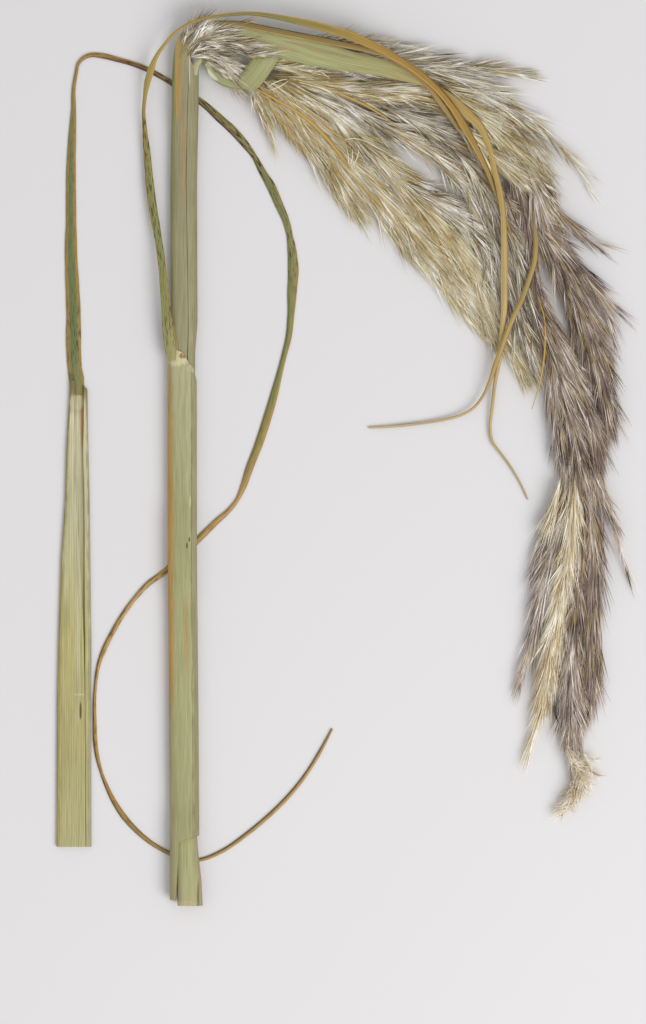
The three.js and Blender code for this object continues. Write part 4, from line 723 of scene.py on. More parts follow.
# Plume: drooping sprays of spikelets, each on a wiry straw-coloured branch that hangs from the axis.
# A spikelet is a lock of silky hairs round thin chaff, silvery to purple-brown, pressed flat with the
# rest; pale hairs also spill from the torn sheath over the strap. Geometry nodes set the locks along
# each branch, densest where the pressed plume is closed and sparse where single wisps stand out.
HAIR_LENGTH = 19.0  # mm
HAIR_WIDTH = 0.34  # mm, a few hairs that cling together, as coarse as the render needs them
HAIRS_IN_LOCK = 5
LOCKS_PER_MM2 = 0.93
WIDEST = 10.0  # mm, half the widest spray
SPRAYS = {  # finish, share of the hair length, waviness, routes of (x, y, z, reach, fullness)
    "throat": ("silver", 0.62, 0.4, [
        [(-0.5, 352, 6.4, 1.2, 1), (1.2, 356.5, 7.2, 1.5, 1), (5, 359.5, 8.4, 1.4, 0.8)],
        [(2, 351, 7, 1.5, 1), (4.5, 355, 8.2, 2, 1), (9, 358, 9, 2, 0.9), (14.5, 359.6, 9.8, 1.6, 0.6),
         (21, 361, 10.6, 1, 0.4)],
        [(0, 350, 7, 1.5, 1), (4, 353.5, 8, 2.6, 1), (9, 355, 9.4, 3.4, 1), (16, 355, 10.6, 3.6, 1),
         (23, 353.5, 11.7, 2.6, 0.7)],
        [(1, 348, 6.8, 1.5, 1), (4, 351, 7.2, 2.6, 1), (10, 350, 7.8, 3.6, 1), (16, 347, 8.2, 4.2, 1),
         (21.5, 343, 7.6, 4, 1)],
        [(3, 348, 6.6, 1.4, 1), (7, 348.6, 6.8, 2, 1), (12, 346.5, 7.2, 3, 1), (17, 342.5, 7.4, 3.2, 1),
         (21, 339.5, 7.4, 2, 1)],
        [(25, 349, 11.2, 2, 0.7), (31, 349.5, 12, 1.6, 0.4)],
    ]),
    "fringe": ("straw", 0.65, 0.35, [
        [(23, 343.5, 5.2, 2, 1), (27, 338, 4.4, 3, 1), (30, 332, 4.2, 3, 0.8), (33, 325.5, 3.8, 2.2, 0.4),
         (34.5, 320, 2.8, 1.6, 0.2)],
        [(25, 342, 6, 2, 1), (32, 335, 6, 3.4, 1), (39, 326, 5, 3, 0.9), (45, 317, 4, 2.4, 0.4)],
    ]),
    "lobe_edge": ("straw", 0.9, 0.3, [
        [(28, 342, 6.2, 2, 1), (36, 334, 5.4, 4, 1), (46.5, 321, 4.6, 4.4, 1), (57, 309, 3.8, 4, 1),
         (65, 297.5, 3, 3.2, 0.7), (70, 290, 2.2, 2.2, 0.4)],
        [(52, 311, 3.2, 4, 0.25), (62, 297.5, 2.4, 4, 0.2), (70, 286.5, 2, 3, 0.15)],
    ]),
    "lobe_left": ("straw", 1.0, 0.3, [
        [(32, 340, 6.8, 2, 1), (46, 328.5, 5.6, 5, 1), (61, 313, 4.8, 7, 1), (77.5, 297, 4.5, 7, 1),
         (92.5, 279.5, 4.2, 6.8, 1), (107.5, 263.5, 3.8, 5.8, 1), (120.5, 248.5, 3, 4.2, 1),
         (127, 238, 2.4, 3, 0.7)],
        [(78, 289, 3.2, 4, 0.2), (93.5, 270, 2.8, 4, 0.35), (109, 254.5, 2.4, 4, 0.2),
         (120.5, 239, 2, 3, 0.12)],
    ]),
    "lobe_right": ("straw", 1.0, 0.3, [
        [(36, 340, 7, 2, 1), (54, 330, 6.2, 5, 1), (72, 314, 5.2, 6.5, 1), (90, 296.5, 4.8, 7.5, 1),
         (106, 279, 4.6, 7.5, 1), (118.5, 262, 4, 7, 1), (127.5, 243, 3.2, 6, 1),
         (134.5, 231, 2.8, 4.5, 0.8), (138.5, 222.5, 2.4, 3, 0.5)],
    ]),
    "lobe_upper": ("silver", 0.95, 0.35, [
        [(44, 338, 7, 2, 1), (58, 329, 6.2, 4, 1), (69, 316.5, 5.4, 5, 1), (80.5, 304, 5, 5, 1),
         (93, 295, 5, 5, 1), (106, 287.5, 5, 5.6, 1), (118, 278.5, 4.6, 7, 1), (125.5, 265, 4.2, 6, 1),
         (129.5, 251, 3.8, 5, 1)],
    ]),
    "middle": ("silver", 0.95, 0.3, [
        [(99, 321.5, 5.5, 2, 1), (107, 311, 4.8, 5, 1), (116.5, 297.5, 4.8, 6, 1), (123.5, 284, 5, 7, 1),
         (129.5, 269.5, 5.2, 6.5, 1), (134.5, 253.5, 5.2, 5, 1), (139, 238.5, 5, 4, 1),
         (143.5, 226, 4.2, 3, 0.7)],
        [(60, 334, 7.4, 2, 1), (72, 326, 7, 3.4, 1), (86, 318.5, 6.6, 3.4, 1), (100, 311, 6, 3.4, 1),
         (110, 302.5, 5.4, 3, 1)],
        [(78, 329.5, 7.2, 3.4, 1), (90, 325, 7.2, 4.4, 1), (102, 318, 7.2, 4.6, 1),
         (113, 309.5, 7.2, 3.6, 1), (123, 296, 7.2, 3, 1), (133, 277, 7.2, 3, 1), (141, 254, 7, 2.6, 1)],
    ]),
    "shoulder": ("straw", 1.0, 0.35, [
        [(36, 341, 7.4, 2, 1), (50, 338.5, 7.4, 3.5, 1), (68, 335, 7, 5, 1), (85, 335, 6.6, 7, 1),
         (102, 332.5, 6.4, 8, 1), (120, 323, 6.2, 8, 1), (133, 310, 6, 7, 1), (141.5, 296.5, 5.8, 6, 1),
         (146, 286, 5.6, 4, 1)],
        [(104, 337, 9.2, 3, 1), (118, 326, 9.4, 4, 1), (131, 313, 9.4, 4, 1)],
        [(112, 321, 10.4, 2, 1), (119, 314.5, 10.6, 3, 1), (127, 308, 10.8, 3.4, 1),
         (135, 301.5, 10.8, 3, 0.9)],
        [(27, 345, 7.6, 2, 1), (33, 345.5, 8, 2.6, 1), (41, 344, 8, 3, 1), (52, 342, 7.6, 3, 0.8)],
    ]),
    "top": ("silver", 0.95, 0.35, [
        [(42, 340, 6.6, 2, 1), (52, 343, 6.8, 4, 1), (66, 345, 6.4, 5, 1), (82, 345.5, 6.2, 6, 1),
         (98, 342, 6.2, 7, 1), (113, 337, 6, 7.5, 1), (127, 329, 5.4, 6.5, 1), (137.5, 318.5, 4.6, 5.5, 1),
         (144, 307, 3.6, 3.6, 0.8)],
        [(136, 330, 4.4, 1.6, 0.25), (148, 318.5, 3.6, 1.6, 0.15), (158.5, 307, 2.8, 1, 0.1),
         (165, 298, 2.2, 0.6, 0.08)],
    ]),
    "top_edge": ("silver", 0.8, 0.35, [
        [(34, 347, 4.6, 1, 0.5), (46, 353, 4, 2, 0.6), (62, 355.5, 3.6, 2.4, 0.6),
         (80.5, 354.5, 3.2, 2.8, 0.6), (97, 349, 2.8, 2.8, 0.7), (110, 345, 2.6, 3.2, 0.8),
         (123, 343.5, 2.2, 2.4, 0.5), (134, 342, 1.8, 1.8, 0.25)],
        [(116, 345.5, 2.4, 2.4, 0.25), (129, 344, 2, 2, 0.2), (140, 342, 1.8, 1.6, 0.1)],
    ]),
    "right_edge": ("purple", 0.95, 0.3, [
        [(128, 292, 6, 3, 1), (138, 286, 6.4, 5, 1), (149, 274.5, 6.4, 6, 1), (157, 259.5, 6.2, 6.5, 1),
         (163.5, 243, 6, 6.5, 1), (168.5, 227, 5.4, 6, 1), (171.5, 211, 4.6, 5, 0.9),
         (172.5, 202, 3.6, 3.5, 0.6)],
        [(150, 288, 5.6, 3, 0.4), (160, 279, 4.6, 2.2, 0.25), (168, 272.5, 3.4, 1.2, 0.12)],
        [(160, 266, 4.6, 2, 0.4), (167, 257, 4, 2, 0.4), (173, 246.5, 3.6, 1.6, 0.25),
         (176, 236, 3.4, 1.2, 0.15)],
        [(142, 303, 5, 4, 0.8), (147.5, 293, 5, 3.2, 0.5), (151.5, 283, 5, 2.6, 0.4)],
    ]),
    "right": ("purple", 1.0, 0.22, [
        [(131, 296, 6, 3, 1), (135, 284, 6, 4, 1), (138.5, 270, 5.6, 4, 1), (141.5, 257, 5.4, 3.5, 1),
         (147, 245.5, 5.2, 3.6, 1), (153.5, 232, 5, 4.5, 1), (159.5, 219, 5, 6, 1), (164, 207, 4.8, 7, 1),
         (166, 196, 4.6, 6.5, 1), (167, 185, 4.6, 5, 1), (167.5, 177, 4.2, 4, 0.9)],
        [(136, 302, 7.2, 3, 1), (139.5, 290, 7.4, 3.4, 1), (142, 277, 7.4, 3, 1), (143, 265, 7.2, 2.4, 1),
         (145, 253, 6.8, 2, 0.8)],
        [(140.5, 302, 10.4, 1.6, 1), (143, 295, 10.7, 2, 1), (143.8, 289, 10.6, 1.4, 0.7)],
        [(141, 254, 7, 2.4, 1), (148.5, 233.5, 6.8, 3, 1), (155, 215, 6.6, 3.4, 1), (160, 196, 6.6, 3.6, 1),
         (162.5, 180, 6.6, 3.6, 1)],
    ]),
    "tail_left": ("lilac", 1.0, 0.2, [
        [(151, 228, 4.8, 2.5, 1), (152, 213, 4.8, 3.5, 1), (155, 198, 4.6, 4.4, 1),
         (157.5, 184, 4.6, 3.6, 1), (157.2, 169, 4.4, 3.4, 1), (154, 153, 4, 3.6, 1),
         (150.5, 137, 3.2, 3.2, 0.8), (148.5, 126, 2.2, 2, 0.5)],
        [(152, 168, 3.6, 2.2, 0.3), (148.5, 154, 3, 2, 0.25), (145.5, 142, 2.4, 1.6, 0.15)],
    ]),
    "tail_blond": ("blond", 1.0, 0.22, [
        [(160.5, 178, 6.4, 2.4, 0.6), (160, 166, 6.6, 4.4, 0.8), (159, 150.5, 6.6, 5, 0.9),
         (156.5, 134, 6.4, 5, 0.9), (153, 117, 5.8, 4.6, 0.9), (150.5, 101, 5, 3.8, 0.8),
         (148.5, 88, 4.2, 2.4, 0.5)],
        [(155, 175, 5.6, 1.8, 0.6), (152.8, 167, 5.4, 1.8, 0.5), (150.8, 159, 4.6, 1.2, 0.3)],
        [(149.5, 92, 4, 1.4, 0.4), (147, 82, 3.4, 1, 0.35), (144.5, 73, 2.8, 0.9, 0.35),
         (142, 66, 2.4, 0.7, 0.3)],
    ]),
    "tail_edge": ("lilac", 1.0, 0.2, [
        [(161, 174, 4.6, 2, 1), (156.5, 160.5, 4.4, 4, 1), (152, 143, 4.2, 4.2, 1),
         (148, 126, 3.8, 3.4, 0.8), (145.5, 113, 3, 2.4, 0.5)],
        [(147, 120, 3, 2.4, 0.25), (142.5, 106, 2.6, 2, 0.2), (139.5, 96, 2.2, 1.2, 0.12)],
    ]),
    "tail_stray": ("lilac", 0.8, 0.2, [
        [(166, 186, 5, 2.4, 0.9), (169, 176, 5, 2.4, 0.8), (173, 166, 4.8, 2, 0.6),
         (176.5, 156, 4.4, 1.2, 0.4), (180, 145.5, 3.4, 0.7, 0.35), (184, 135, 2.2, 0.4, 0.3)],
    ]),
    "tail_right": ("purple", 1.0, 0.2, [
        [(165, 172, 5, 3, 1), (167.5, 158, 4.8, 4.4, 1), (167.8, 143, 4.8, 4.2, 1),
         (167.4, 128, 4.6, 4.2, 1), (167.5, 112, 4, 4, 1), (167, 97, 3, 3, 0.7), (167, 86, 2, 1.8, 0.4)],
        [(164, 161, 6, 2.6, 1), (162.5, 139, 6, 2.6, 1), (161, 118, 5.8, 3, 1)],
        [(170, 118, 3.4, 2, 0.25), (170.5, 104, 3, 2, 0.2), (168, 88, 2.4, 1.6, 0.15)],
    ]),
    "tail_middle": ("lilac", 0.9, 0.25, [
        [(162, 127.5, 4.4, 4, 1), (159.5, 111, 4.4, 5, 1), (159.5, 95, 4, 5, 1), (160, 82, 3, 4, 0.9),
         (160.5, 73, 2, 3, 0.6)],
        [(160.5, 118, 5.8, 3, 1), (159, 94, 5.6, 3, 1), (159, 76, 5, 2.4, 0.8)],
        [(152, 108, 3.4, 2, 0.5), (150.5, 96, 3, 1.6, 0.3), (151.5, 84, 2.4, 1.2, 0.2)],
    ]),
    "tail_tuft": ("cream", 0.28, 2.4, [
        [(157.5, 67, 4, 1.6, 0.8), (159.5, 60, 4.2, 2.6, 0.9), (162, 54, 4, 3.4, 0.9),
         (161.5, 47.5, 3.4, 2.6, 0.9), (158.5, 42, 2.8, 1.6, 0.9)],
        [(164, 64, 3.4, 2, 0.3), (166.5, 56, 3, 1.8, 0.25)],
    ]),
}
BARE_BRANCHES = {  # mm thick at its ends and middle, shade from 1 (ochre) to 2 (cream), rows of x, y, z
    "lobe_edge": [
        (0.2, 0.5, 1, [(30, 334.5, 8.8), (36, 327.5, 7.6), (42, 318.5, 6.8), (46.5, 309.5, 6.2)]),
        (0.2, 0.4, 1, [(33, 331, 8), (41, 322, 7), (49, 311.5, 6.2), (55, 302.5, 5.6)]),
    ],
    "lobe_left": [
        (0.4, 1.4, 1, [(29.5, 335.5, 9.2), (37, 331.5, 9), (48, 325, 8.6), (57, 317, 8), (63, 310, 7.2),
                       (68.5, 303, 6.2)]),
        (0.3, 0.7, 1.1, [(30, 334.6, 9), (40, 327.5, 8.4), (50, 319, 7.8), (58, 309.5, 6.8)]),
        (0.3, 0.7, 1, [(31, 336.6, 9), (44, 330.5, 8.6), (56, 322.5, 8), (66, 313.5, 7.2), (74, 304.5, 6.2)]),
        (0.3, 0.6, 1.1, [(66, 303, 6.8), (74, 295, 6.2), (82, 286.5, 5.8), (90, 277, 5.4)]),
        (0.2, 0.4, 1, [(80, 292, 6.2), (90, 281, 5.9), (99, 270, 5.6), (107, 258.5, 5)]),
        (0.2, 0.4, 1, [(58, 307, 6.6), (66, 298.5, 6.2), (73.5, 289, 5.8), (80, 279.5, 5.4)]),
        (0.15, 0.4, 2, [(68, 303.5, 7.4), (69.2, 307, 8), (69.4, 311, 7.8)]),
        (0.15, 0.4, 2, [(68.6, 303, 7.4), (71, 306.5, 8.2), (72, 310.8, 7.8)]),
        (0.15, 0.35, 2, [(67.5, 304.5, 7.2), (67.6, 308, 8), (66.8, 312, 7.6)]),
    ],
    "lobe_right": [
        (0.2, 0.45, 1, [(74, 308, 7), (84, 298.5, 6.6), (94, 287.5, 6.3), (103, 276, 6.1)]),
        (0.2, 0.4, 1, [(98, 289, 6.4), (107, 277, 6.2), (115, 264.5, 5.6), (121, 252, 5)]),
        (0.2, 0.4, 1, [(90, 291, 6.3), (100, 278, 6.1), (108, 266.5, 5.7), (114, 256, 5.2)]),
    ],
    "lobe_upper": [
        (0.3, 0.9, 1, [(56, 337, 8.6), (62, 334.5, 8.8), (72, 330, 8.8), (80, 325.5, 8.4), (88, 320, 7.6)]),
        (0.2, 0.5, 1.1, [(86, 318, 7.8), (96, 310, 7.2), (105, 301, 6.8)]),
        (0.15, 0.4, 2, [(35, 334.8, 9.4), (39, 336, 9.8), (43, 338.6, 9.4)]),
        (0.15, 0.4, 2, [(34.5, 336, 9.2), (38, 338.2, 9.8), (42.5, 339.5, 9.2)]),
        (0.15, 0.35, 2, [(53, 341.5, 9), (56, 343, 9.4), (59.5, 342.4, 9)]),
        (0.15, 0.35, 2, [(54, 343.5, 9), (57.5, 341.6, 9.4), (60, 339.5, 9)]),
        (0.15, 0.35, 2, [(66, 314.5, 7.6), (70, 315.2, 8), (75, 313.8, 7.4)]),
        (0.15, 0.35, 2, [(88, 316, 7.8), (92, 317.6, 8.2), (96, 316.2, 7.8)]),
    ],
    "right_edge": [
        (0.3, 0.8, 1, [(145.5, 250, 8.4), (148, 241, 8.2), (148.2, 229, 7.8), (146.5, 216, 7.4),
                       (143, 204, 5.8)]),
    ],
    "shoulder": [(0.3, 0.7, 1, [(122, 318, 10.9), (126.5, 306, 10.9), (129, 294, 10.7), (130.5, 284, 9.8)])],
}
CURLED_THREADS = {  # mm thick at its ends and middle, shade, x, y, z, size, start, turn
    "tail_tuft": [
        (0.12, 0.3, 1.7, 159, 66, 4.6, 1.6, 1.2, 4.4), (0.12, 0.3, 1.8, 161.5, 62.5, 5, 1.4, 4.2, 4.6),
        (0.12, 0.3, 1.6, 158.8, 60.5, 5, 1.5, 2.6, -4.2), (0.12, 0.3, 1.9, 163, 57.5, 5, 1.7, 0.2, 4.8),
        (0.12, 0.3, 1.7, 160.4, 56, 5.2, 1.3, 3.4, -4.6), (0.12, 0.3, 1.8, 165.2, 54.5, 4.6, 1.6, 5.2, 4.2),
        (0.12, 0.3, 1.6, 162, 52, 5, 1.5, 1.8, -4.4), (0.12, 0.3, 1.8, 159.8, 49.6, 4.6, 1.4, 0.8, 4.6),
        (0.12, 0.3, 1.9, 163.2, 48, 4.2, 1.5, 4.6, -4.2), (0.12, 0.3, 1.5, 160, 45, 4, 1.3, 2.2, 4.4),
        (0.12, 0.3, 1.2, 157.6, 42.2, 3.4, 1.2, 3.8, 4.2), (0.1, 0.25, 1.8, 165.5, 61, 3.6, 1.5, 5.8, -4),
        (0.1, 0.25, 1.8, 156.6, 63.5, 3.4, 1.4, 2, 4),
    ],
    "tail_blond": [
        (0.1, 0.25, 1.8, 146.5, 73, 3.4, 1.6, 1.4, 3.8), (0.1, 0.25, 1.8, 144.2, 66.5, 3, 1.4, 4.6, -4),
        (0.1, 0.25, 1.7, 142.5, 60.5, 2.6, 1.3, 1.2, 4.2), (0.1, 0.25, 1.8, 149.5, 86, 4.6, 1.5, 4.4, 3.6),
    ],
}
THREAD_POINTS = 5
TIGHTER = 0.12  # how much of its width a thread's turn loses from point to point
STRETCH = 1.3  # of a turn, along the sheet's long side


def curl(x, y, z, size, start, turn):
    """Rows of a short curled thread."""
    rows = []
    for i in range(THREAD_POINTS):
        angle, wide = start + turn * i / (THREAD_POINTS - 1), size * (1 - TIGHTER * i)
        rows.append((x + wide * math.cos(angle), y + STRETCH * wide * math.sin(angle), z + 0.1 * i))
    return rows


for name, threads in CURLED_THREADS.items():
    BARE_BRANCHES[name] = [(*thread[:3], curl(*thread[3:])) for thread in threads]
HAIR_TONES_SHADE_AND_GLINTS = {  # from the chaff and painted shade between hairs to painted near-white highlights on hairs that catch the light
    "straw": ["8E7A3C", "BCAD8A", "D7CCB8", "E6DBAB", "F2EBD8", "FDFBF4"],
    "silver": ["6A5832", "9E9183", "CAC1B5", "DDD3AF", "F1EBE3", "FDFCF9"],
    "purple": ["44322D", "7A645C", "9F8B84", "B5A083", "D1C2B6", "F0E8E1"],
    "lilac": ["46342F", "83706A", "AF9D97", "C9B79B", "E3D7CC", "F6EFE9"],
    "blond": ["9C8359", "D0B88F", "E9D8B5", "EEDEB4", "F7EEDA", "FDFAF0"],
    "cream": ["BCA682", "E2D2B4", "F3E9D5", "F5EACF", "FCF6E8", "FFFDF6"],
}
GOLDEN_SHARE = {"straw": 0.22, "silver": 0.13, "purple": 0.09, "lilac": 0.05, "blond": 0.04, "cream": 0.03}
GOLD, OCHRE, CREAM = "C2A64E", "C49E46", "EDE6D2"
GOLD_STRENGTH = 0.75  # how golden the golden hairs are
GOLD_SPREAD = (7.3, 5.1)  # any two numbers that scatter the golden hairs over the locks
TONE_DRIFT = 70.0  # how soon the plume turns lighter or darker along it
TONE_START = 0.78  # taken off, so that the drawn tones fill the whole ramp
TONE_WEIGHTS = (0.72, 0.82, 0.1)  # how much a lock, a hair and the way along the hair change the tone


def hair_material(name, tones, golden):
    """Silky hair and chaff: satin, each lock in its own tone and each hair a little off it, so that
    the plume reads as fine streaks. The darkest tones are partly painted shade between the hairs and
    the palest are painted highlights, given out at random; bare branches are ochre straw."""
    made, node = fresh_material(name)
    lock, tone, along, stalk = [
        node("ShaderNodeAttribute", attribute_name=kind).outputs["Fac"]
        for kind in ("lock", "tone", "along_hair", "stalk")
    ]
    spot = node("ShaderNodeTexCoord").outputs["Object"]
    drift = node("ShaderNodeTexNoise", {"Vector": spot, "Scale": TONE_DRIFT, "Detail": 2.0})
    value = node(MATH, {0: drift, 1: TONE_START}, operation="SUBTRACT")
    for share, weight in zip((lock, tone, along), TONE_WEIGHTS):
        value = node(MATH, {0: share, 1: weight, 2: value}, operation="MULTIPLY_ADD")
    # the ramp runs from chaff and painted shade to painted near-white highlights
    colour = set_stops(node("ShaderNodeValToRGB", {"Fac": value}), list(enumerate(tones)), len(tones) - 1)
    pick = node(MATH, {0: tone, 1: GOLD_SPREAD[0]}, operation="MULTIPLY")
    pick = node(MATH, {0: lock, 1: GOLD_SPREAD[1], 2: pick}, operation="MULTIPLY_ADD")
    pick = node(MATH, {0: pick}, operation="FRACT")
    pick = node(MATH, {0: pick, 1: golden}, operation="LESS_THAN")
    pick = node(MATH, {0: pick, 1: GOLD_STRENGTH}, operation="MULTIPLY")
    colour = node("ShaderNodeMix", {0: pick, 6: colour, 7: tint(GOLD)}, data_type="RGBA").outputs[2]
    pale = node(MATH, {0: stalk, 1: 1.0}, operation="SUBTRACT", use_clamp=True)
    straw = node("ShaderNodeMix", {0: pale, 6: tint(OCHRE), 7: tint(CREAM)}, data_type="RGBA").outputs[2]
    colour = node("ShaderNodeMix", {0: stalk, 6: colour, 7: straw}, data_type="RGBA").outputs[2]
    surface = {"Base Color": colour, "Roughness": 0.38, "Specular IOR Level": 0.6, "Sheen Weight": 0.1}
    node("ShaderNodeOutputMaterial", {"Surface": node("ShaderNodeBsdfPrincipled", surface)})
    return made


HAIR_TAPER = 1.3  # brings a hair's widest place nearer to its root
SPINDLE = 0.6  # share of the hair width from the middle of its section to a corner
LOCK_KINDS = 3
HAIR_DRAWS = [  # least and most of a hair's start in mm, of its direction and length, of its turn and tone
    ((-0.35, -0.12, 0), (0.35, 0.12, 3)), ((-0.05, -0.02, 0.7), (0.05, 0.02, 1.1)), ((0, 0, 0), (1, 6.28, 1)),
]
FAN = 105  # how far a hair leans out, by how far out it starts in m
LOCK_DRAWS = [  # least and most of what is drawn for a lock, in the order of the names below
    ((-1, -1, -1), (1, 1, 1)), ((-1, -1, -1), (1, 1, 1)), ((0.7, 0, 0), (1.15, 1, 1)), ((0, 0, 0), (1, 1, 1)),
]
SLIDE = 0.003  # m that a lock starts before or after its place
STARTS_OUT, LEANS_OUT = 0.68, 0.32  # shares of the reach: where a lock starts, how far its tip goes on
FLOW_DETAIL = 55.0  # how soon neighbouring locks part ways
LOOSE, WILD, WILD_POWER = 0.12, 0.4, 9.0  # lean of every lock, lean of the few wild ones, how few
TILT = 0.03  # up or down
HALF_AS_STEEP = (1, 1, 0.5)  # what a lock keeps of its branch's slope
TWIST = 0.5  # radians
LOWEST = 0.0001  # m, under which no hair hangs
PER_POINT = {"data_type": "FLOAT", "domain": "POINT"}
NAMED, STORE = "GeometryNodeInputNamedAttribute", "GeometryNodeStoreNamedAttribute"
lock_tree = bpy.data.node_groups.new("locks_along_a_branch", "GeometryNodeTree")
for name, kind in (
    ("Branch", "Geometry"), ("Lock spacing", "Float"), ("Hairs in a lock", "Int"), ("Hair length", "Float"),
    ("Hair width", "Float"), ("Waver", "Float"), ("Curl", "Float"), ("Widest", "Float"), ("Seed", "Int"),
    ("Finish", "Material"),
):
    lock_tree.interface.new_socket(name, in_out="INPUT", socket_type="NodeSocket" + kind)
lock_tree.interface.new_socket("Spray", in_out="OUTPUT", socket_type="NodeSocketGeometry")
node = partial(add, lock_tree)
given = node("NodeGroupInput").outputs

# one hair: a three-sided spindle that bends towards its tip
ball = node("GeometryNodeMeshUVSphere", {"Segments": 3, "Rings": 2, "Radius": 1.0})
spot = node("GeometryNodeInputPosition")
spot = node("ShaderNodeSeparateXYZ", {"Vector": spot}).outputs
share = node(MATH, {0: spot[2], 1: 0.5, 2: 0.5}, operation="MULTIPLY_ADD", use_clamp=True)
share = node(MATH, {0: share, 1: HAIR_TAPER}, operation="POWER")
ball = node(STORE, {"Geometry": ball, "Name": "along_hair", "Value": share}, **PER_POINT)
share = node(NAMED, {"Name": "along_hair"}, data_type="FLOAT")
half = node(MATH, {0: given["Hair width"], 1: SPINDLE}, operation="MULTIPLY")
bend = node(MATH, {0: share, 1: share}, operation="MULTIPLY")
bend = node(MATH, {0: bend, 1: given["Curl"]}, operation="MULTIPLY")
over = node(MATH, {0: spot[0], 1: half, 2: bend}, operation="MULTIPLY_ADD")
up = node(MATH, {0: spot[1], 1: half}, operation="MULTIPLY")
along = node(MATH, {0: share, 1: given["Hair length"]}, operation="MULTIPLY")
shaped = node("ShaderNodeCombineXYZ", {"X": over, "Y": up, "Z": along})
hair = node("GeometryNodeSetPosition", {"Geometry": ball, "Position": shaped})

# three kinds of lock, each a flat fan of hairs; every draw has a seed of its own
locks = node("GeometryNodeJoinGeometry")
for number in range(LOCK_KINDS):
    draws = []
    for k, (low, high) in enumerate(HAIR_DRAWS):
        seed = node("FunctionNodeIntegerMath", {0: given["Seed"], 1: 31 * number + 7 * k}, operation="ADD")
        drawn = node("FunctionNodeRandomValue", {0: low, 1: high, "Seed": seed}, data_type="FLOAT_VECTOR")
        draws.append(drawn)
    start = node(VECTOR, {0: draws[0], "Scale": 0.001}, operation="SCALE")
    dots = node("GeometryNodePoints", {"Count": given["Hairs in a lock"], "Position": start})
    spread = node(VECTOR, {0: start, 1: (FAN, FAN, 0), 2: draws[1]}, operation="MULTIPLY_ADD")
    turned = node("FunctionNodeAlignRotationToVector", {"Vector": spread}, axis="Z")
    size = node("ShaderNodeSeparateXYZ", {"Vector": draws[1]}).outputs[2]
    _, spin, tone = node("ShaderNodeSeparateXYZ", {"Vector": draws[2]}).outputs
    spin = node("FunctionNodeAxisAngleToRotation", {"Axis": (0, 0, 1), "Angle": spin})
    turned = {"Rotation": turned, "Rotate By": spin}
    turned = node("FunctionNodeRotateRotation", turned, rotation_space="LOCAL")
    dots = node(STORE, {"Geometry": dots, "Name": "tone", "Value": tone}, **PER_POINT)
    size = node("ShaderNodeCombineXYZ", {"X": 1.0, "Y": 1.0, "Z": size})
    fan = {"Points": dots, "Instance": hair, "Rotation": turned, "Scale": size}
    fan = node("GeometryNodeInstanceOnPoints", fan)
    fan = node("GeometryNodeRealizeInstances", {"Geometry": fan})
    fan = node("GeometryNodeGeometryToInstance", {"Geometry": fan})
    lock_tree.links.new(fan.outputs[0], locks.inputs[0])

# the locks on their branch: off to both sides as far as it reaches, leaning out and with the flow
curve = node("GeometryNodeMeshToCurve", {"Mesh": given["Branch"]})
starts = node("GeometryNodeCurveToPoints", {"Curve": curve, "Length": given["Lock spacing"]}, mode="LENGTH")
points, ahead = starts.outputs["Points"], starts.outputs["Tangent"]
reach, fullness, depth, ending, fall, thick, shade = [
    node(NAMED, {"Name": kind}, data_type="FLOAT")
    for kind in ("reach", "fullness", "depth", "ending", "fall", "thickness", "shade")
]
draws = []
for k, (low, high) in enumerate(LOCK_DRAWS):
    seed = node("FunctionNodeIntegerMath", {0: given["Seed"], 1: 200 + 13 * k}, operation="ADD")
    drawn = node("FunctionNodeRandomValue", {0: low, 1: high, "Seed": seed}, data_type="FLOAT_VECTOR")
    draws += node("ShaderNodeSeparateXYZ", {"Vector": drawn}).outputs
sideways, height, slide, stray, tilt, turn, size, lock, keep, side_pick, variant = draws[:11]
side = node(VECTOR, {0: ahead, 1: (0, 0, 1)}, operation="CROSS_PRODUCT")
side = node(VECTOR, {0: side}, operation="NORMALIZE")
off = node(MATH, {0: sideways, 1: reach}, operation="MULTIPLY")
near = node(MATH, {0: off, 1: STARTS_OUT}, operation="MULTIPLY")
back = node(MATH, {0: slide, 1: SLIDE}, operation="MULTIPLY")
up = node(MATH, {0: height, 1: depth}, operation="MULTIPLY")
outer = node(MATH, {0: sideways, 1: sideways}, operation="MULTIPLY")
outer = node(MATH, {0: outer, 1: fall}, operation="MULTIPLY")
up = node(MATH, {0: up, 1: outer}, operation="SUBTRACT")
moved = node("ShaderNodeCombineXYZ", {"Z": up})
for way, far in ((side, near), (ahead, back)):
    part = node(VECTOR, {0: way, "Scale": far}, operation="SCALE")
    moved = node(VECTOR, {0: moved, 1: part}, operation="ADD")
spot = node("GeometryNodeInputPosition")
spot = node(VECTOR, {0: spot, 1: moved}, operation="ADD")
flow = node("ShaderNodeTexNoise", {"Vector": spot, "Scale": FLOW_DETAIL, "Detail": 1.0})
flow = node(MATH, {0: flow, 1: 0.5}, operation="SUBTRACT")
lean = node(MATH, {0: off, 1: LEANS_OUT}, operation="MULTIPLY")
lean = node(MATH, {0: lean, 1: given["Hair length"]}, operation="DIVIDE")
lean = node(MATH, {0: flow, 1: given["Waver"], 2: lean}, operation="MULTIPLY_ADD")
loose = node(MATH, {0: given["Waver"], 1: LOOSE}, operation="MULTIPLY")
lean = node(MATH, {0: stray, 1: loose, 2: lean}, operation="MULTIPLY_ADD")
wild = node(MATH, {0: stray, 1: WILD_POWER}, operation="POWER")
lean = node(MATH, {0: wild, 1: WILD, 2: lean}, operation="MULTIPLY_ADD")
rise = node(MATH, {0: tilt, 1: height}, operation="SUBTRACT")
rise = node(MATH, {0: rise, 1: TILT}, operation="MULTIPLY")
rise = node("ShaderNodeCombineXYZ", {"Z": rise})
level = node(VECTOR, {0: ahead, 1: HALF_AS_STEEP, 2: rise}, operation="MULTIPLY_ADD")
out = node(VECTOR, {0: side, "Scale": lean}, operation="SCALE")
heading = node(VECTOR, {0: level, 1: out}, operation="ADD")
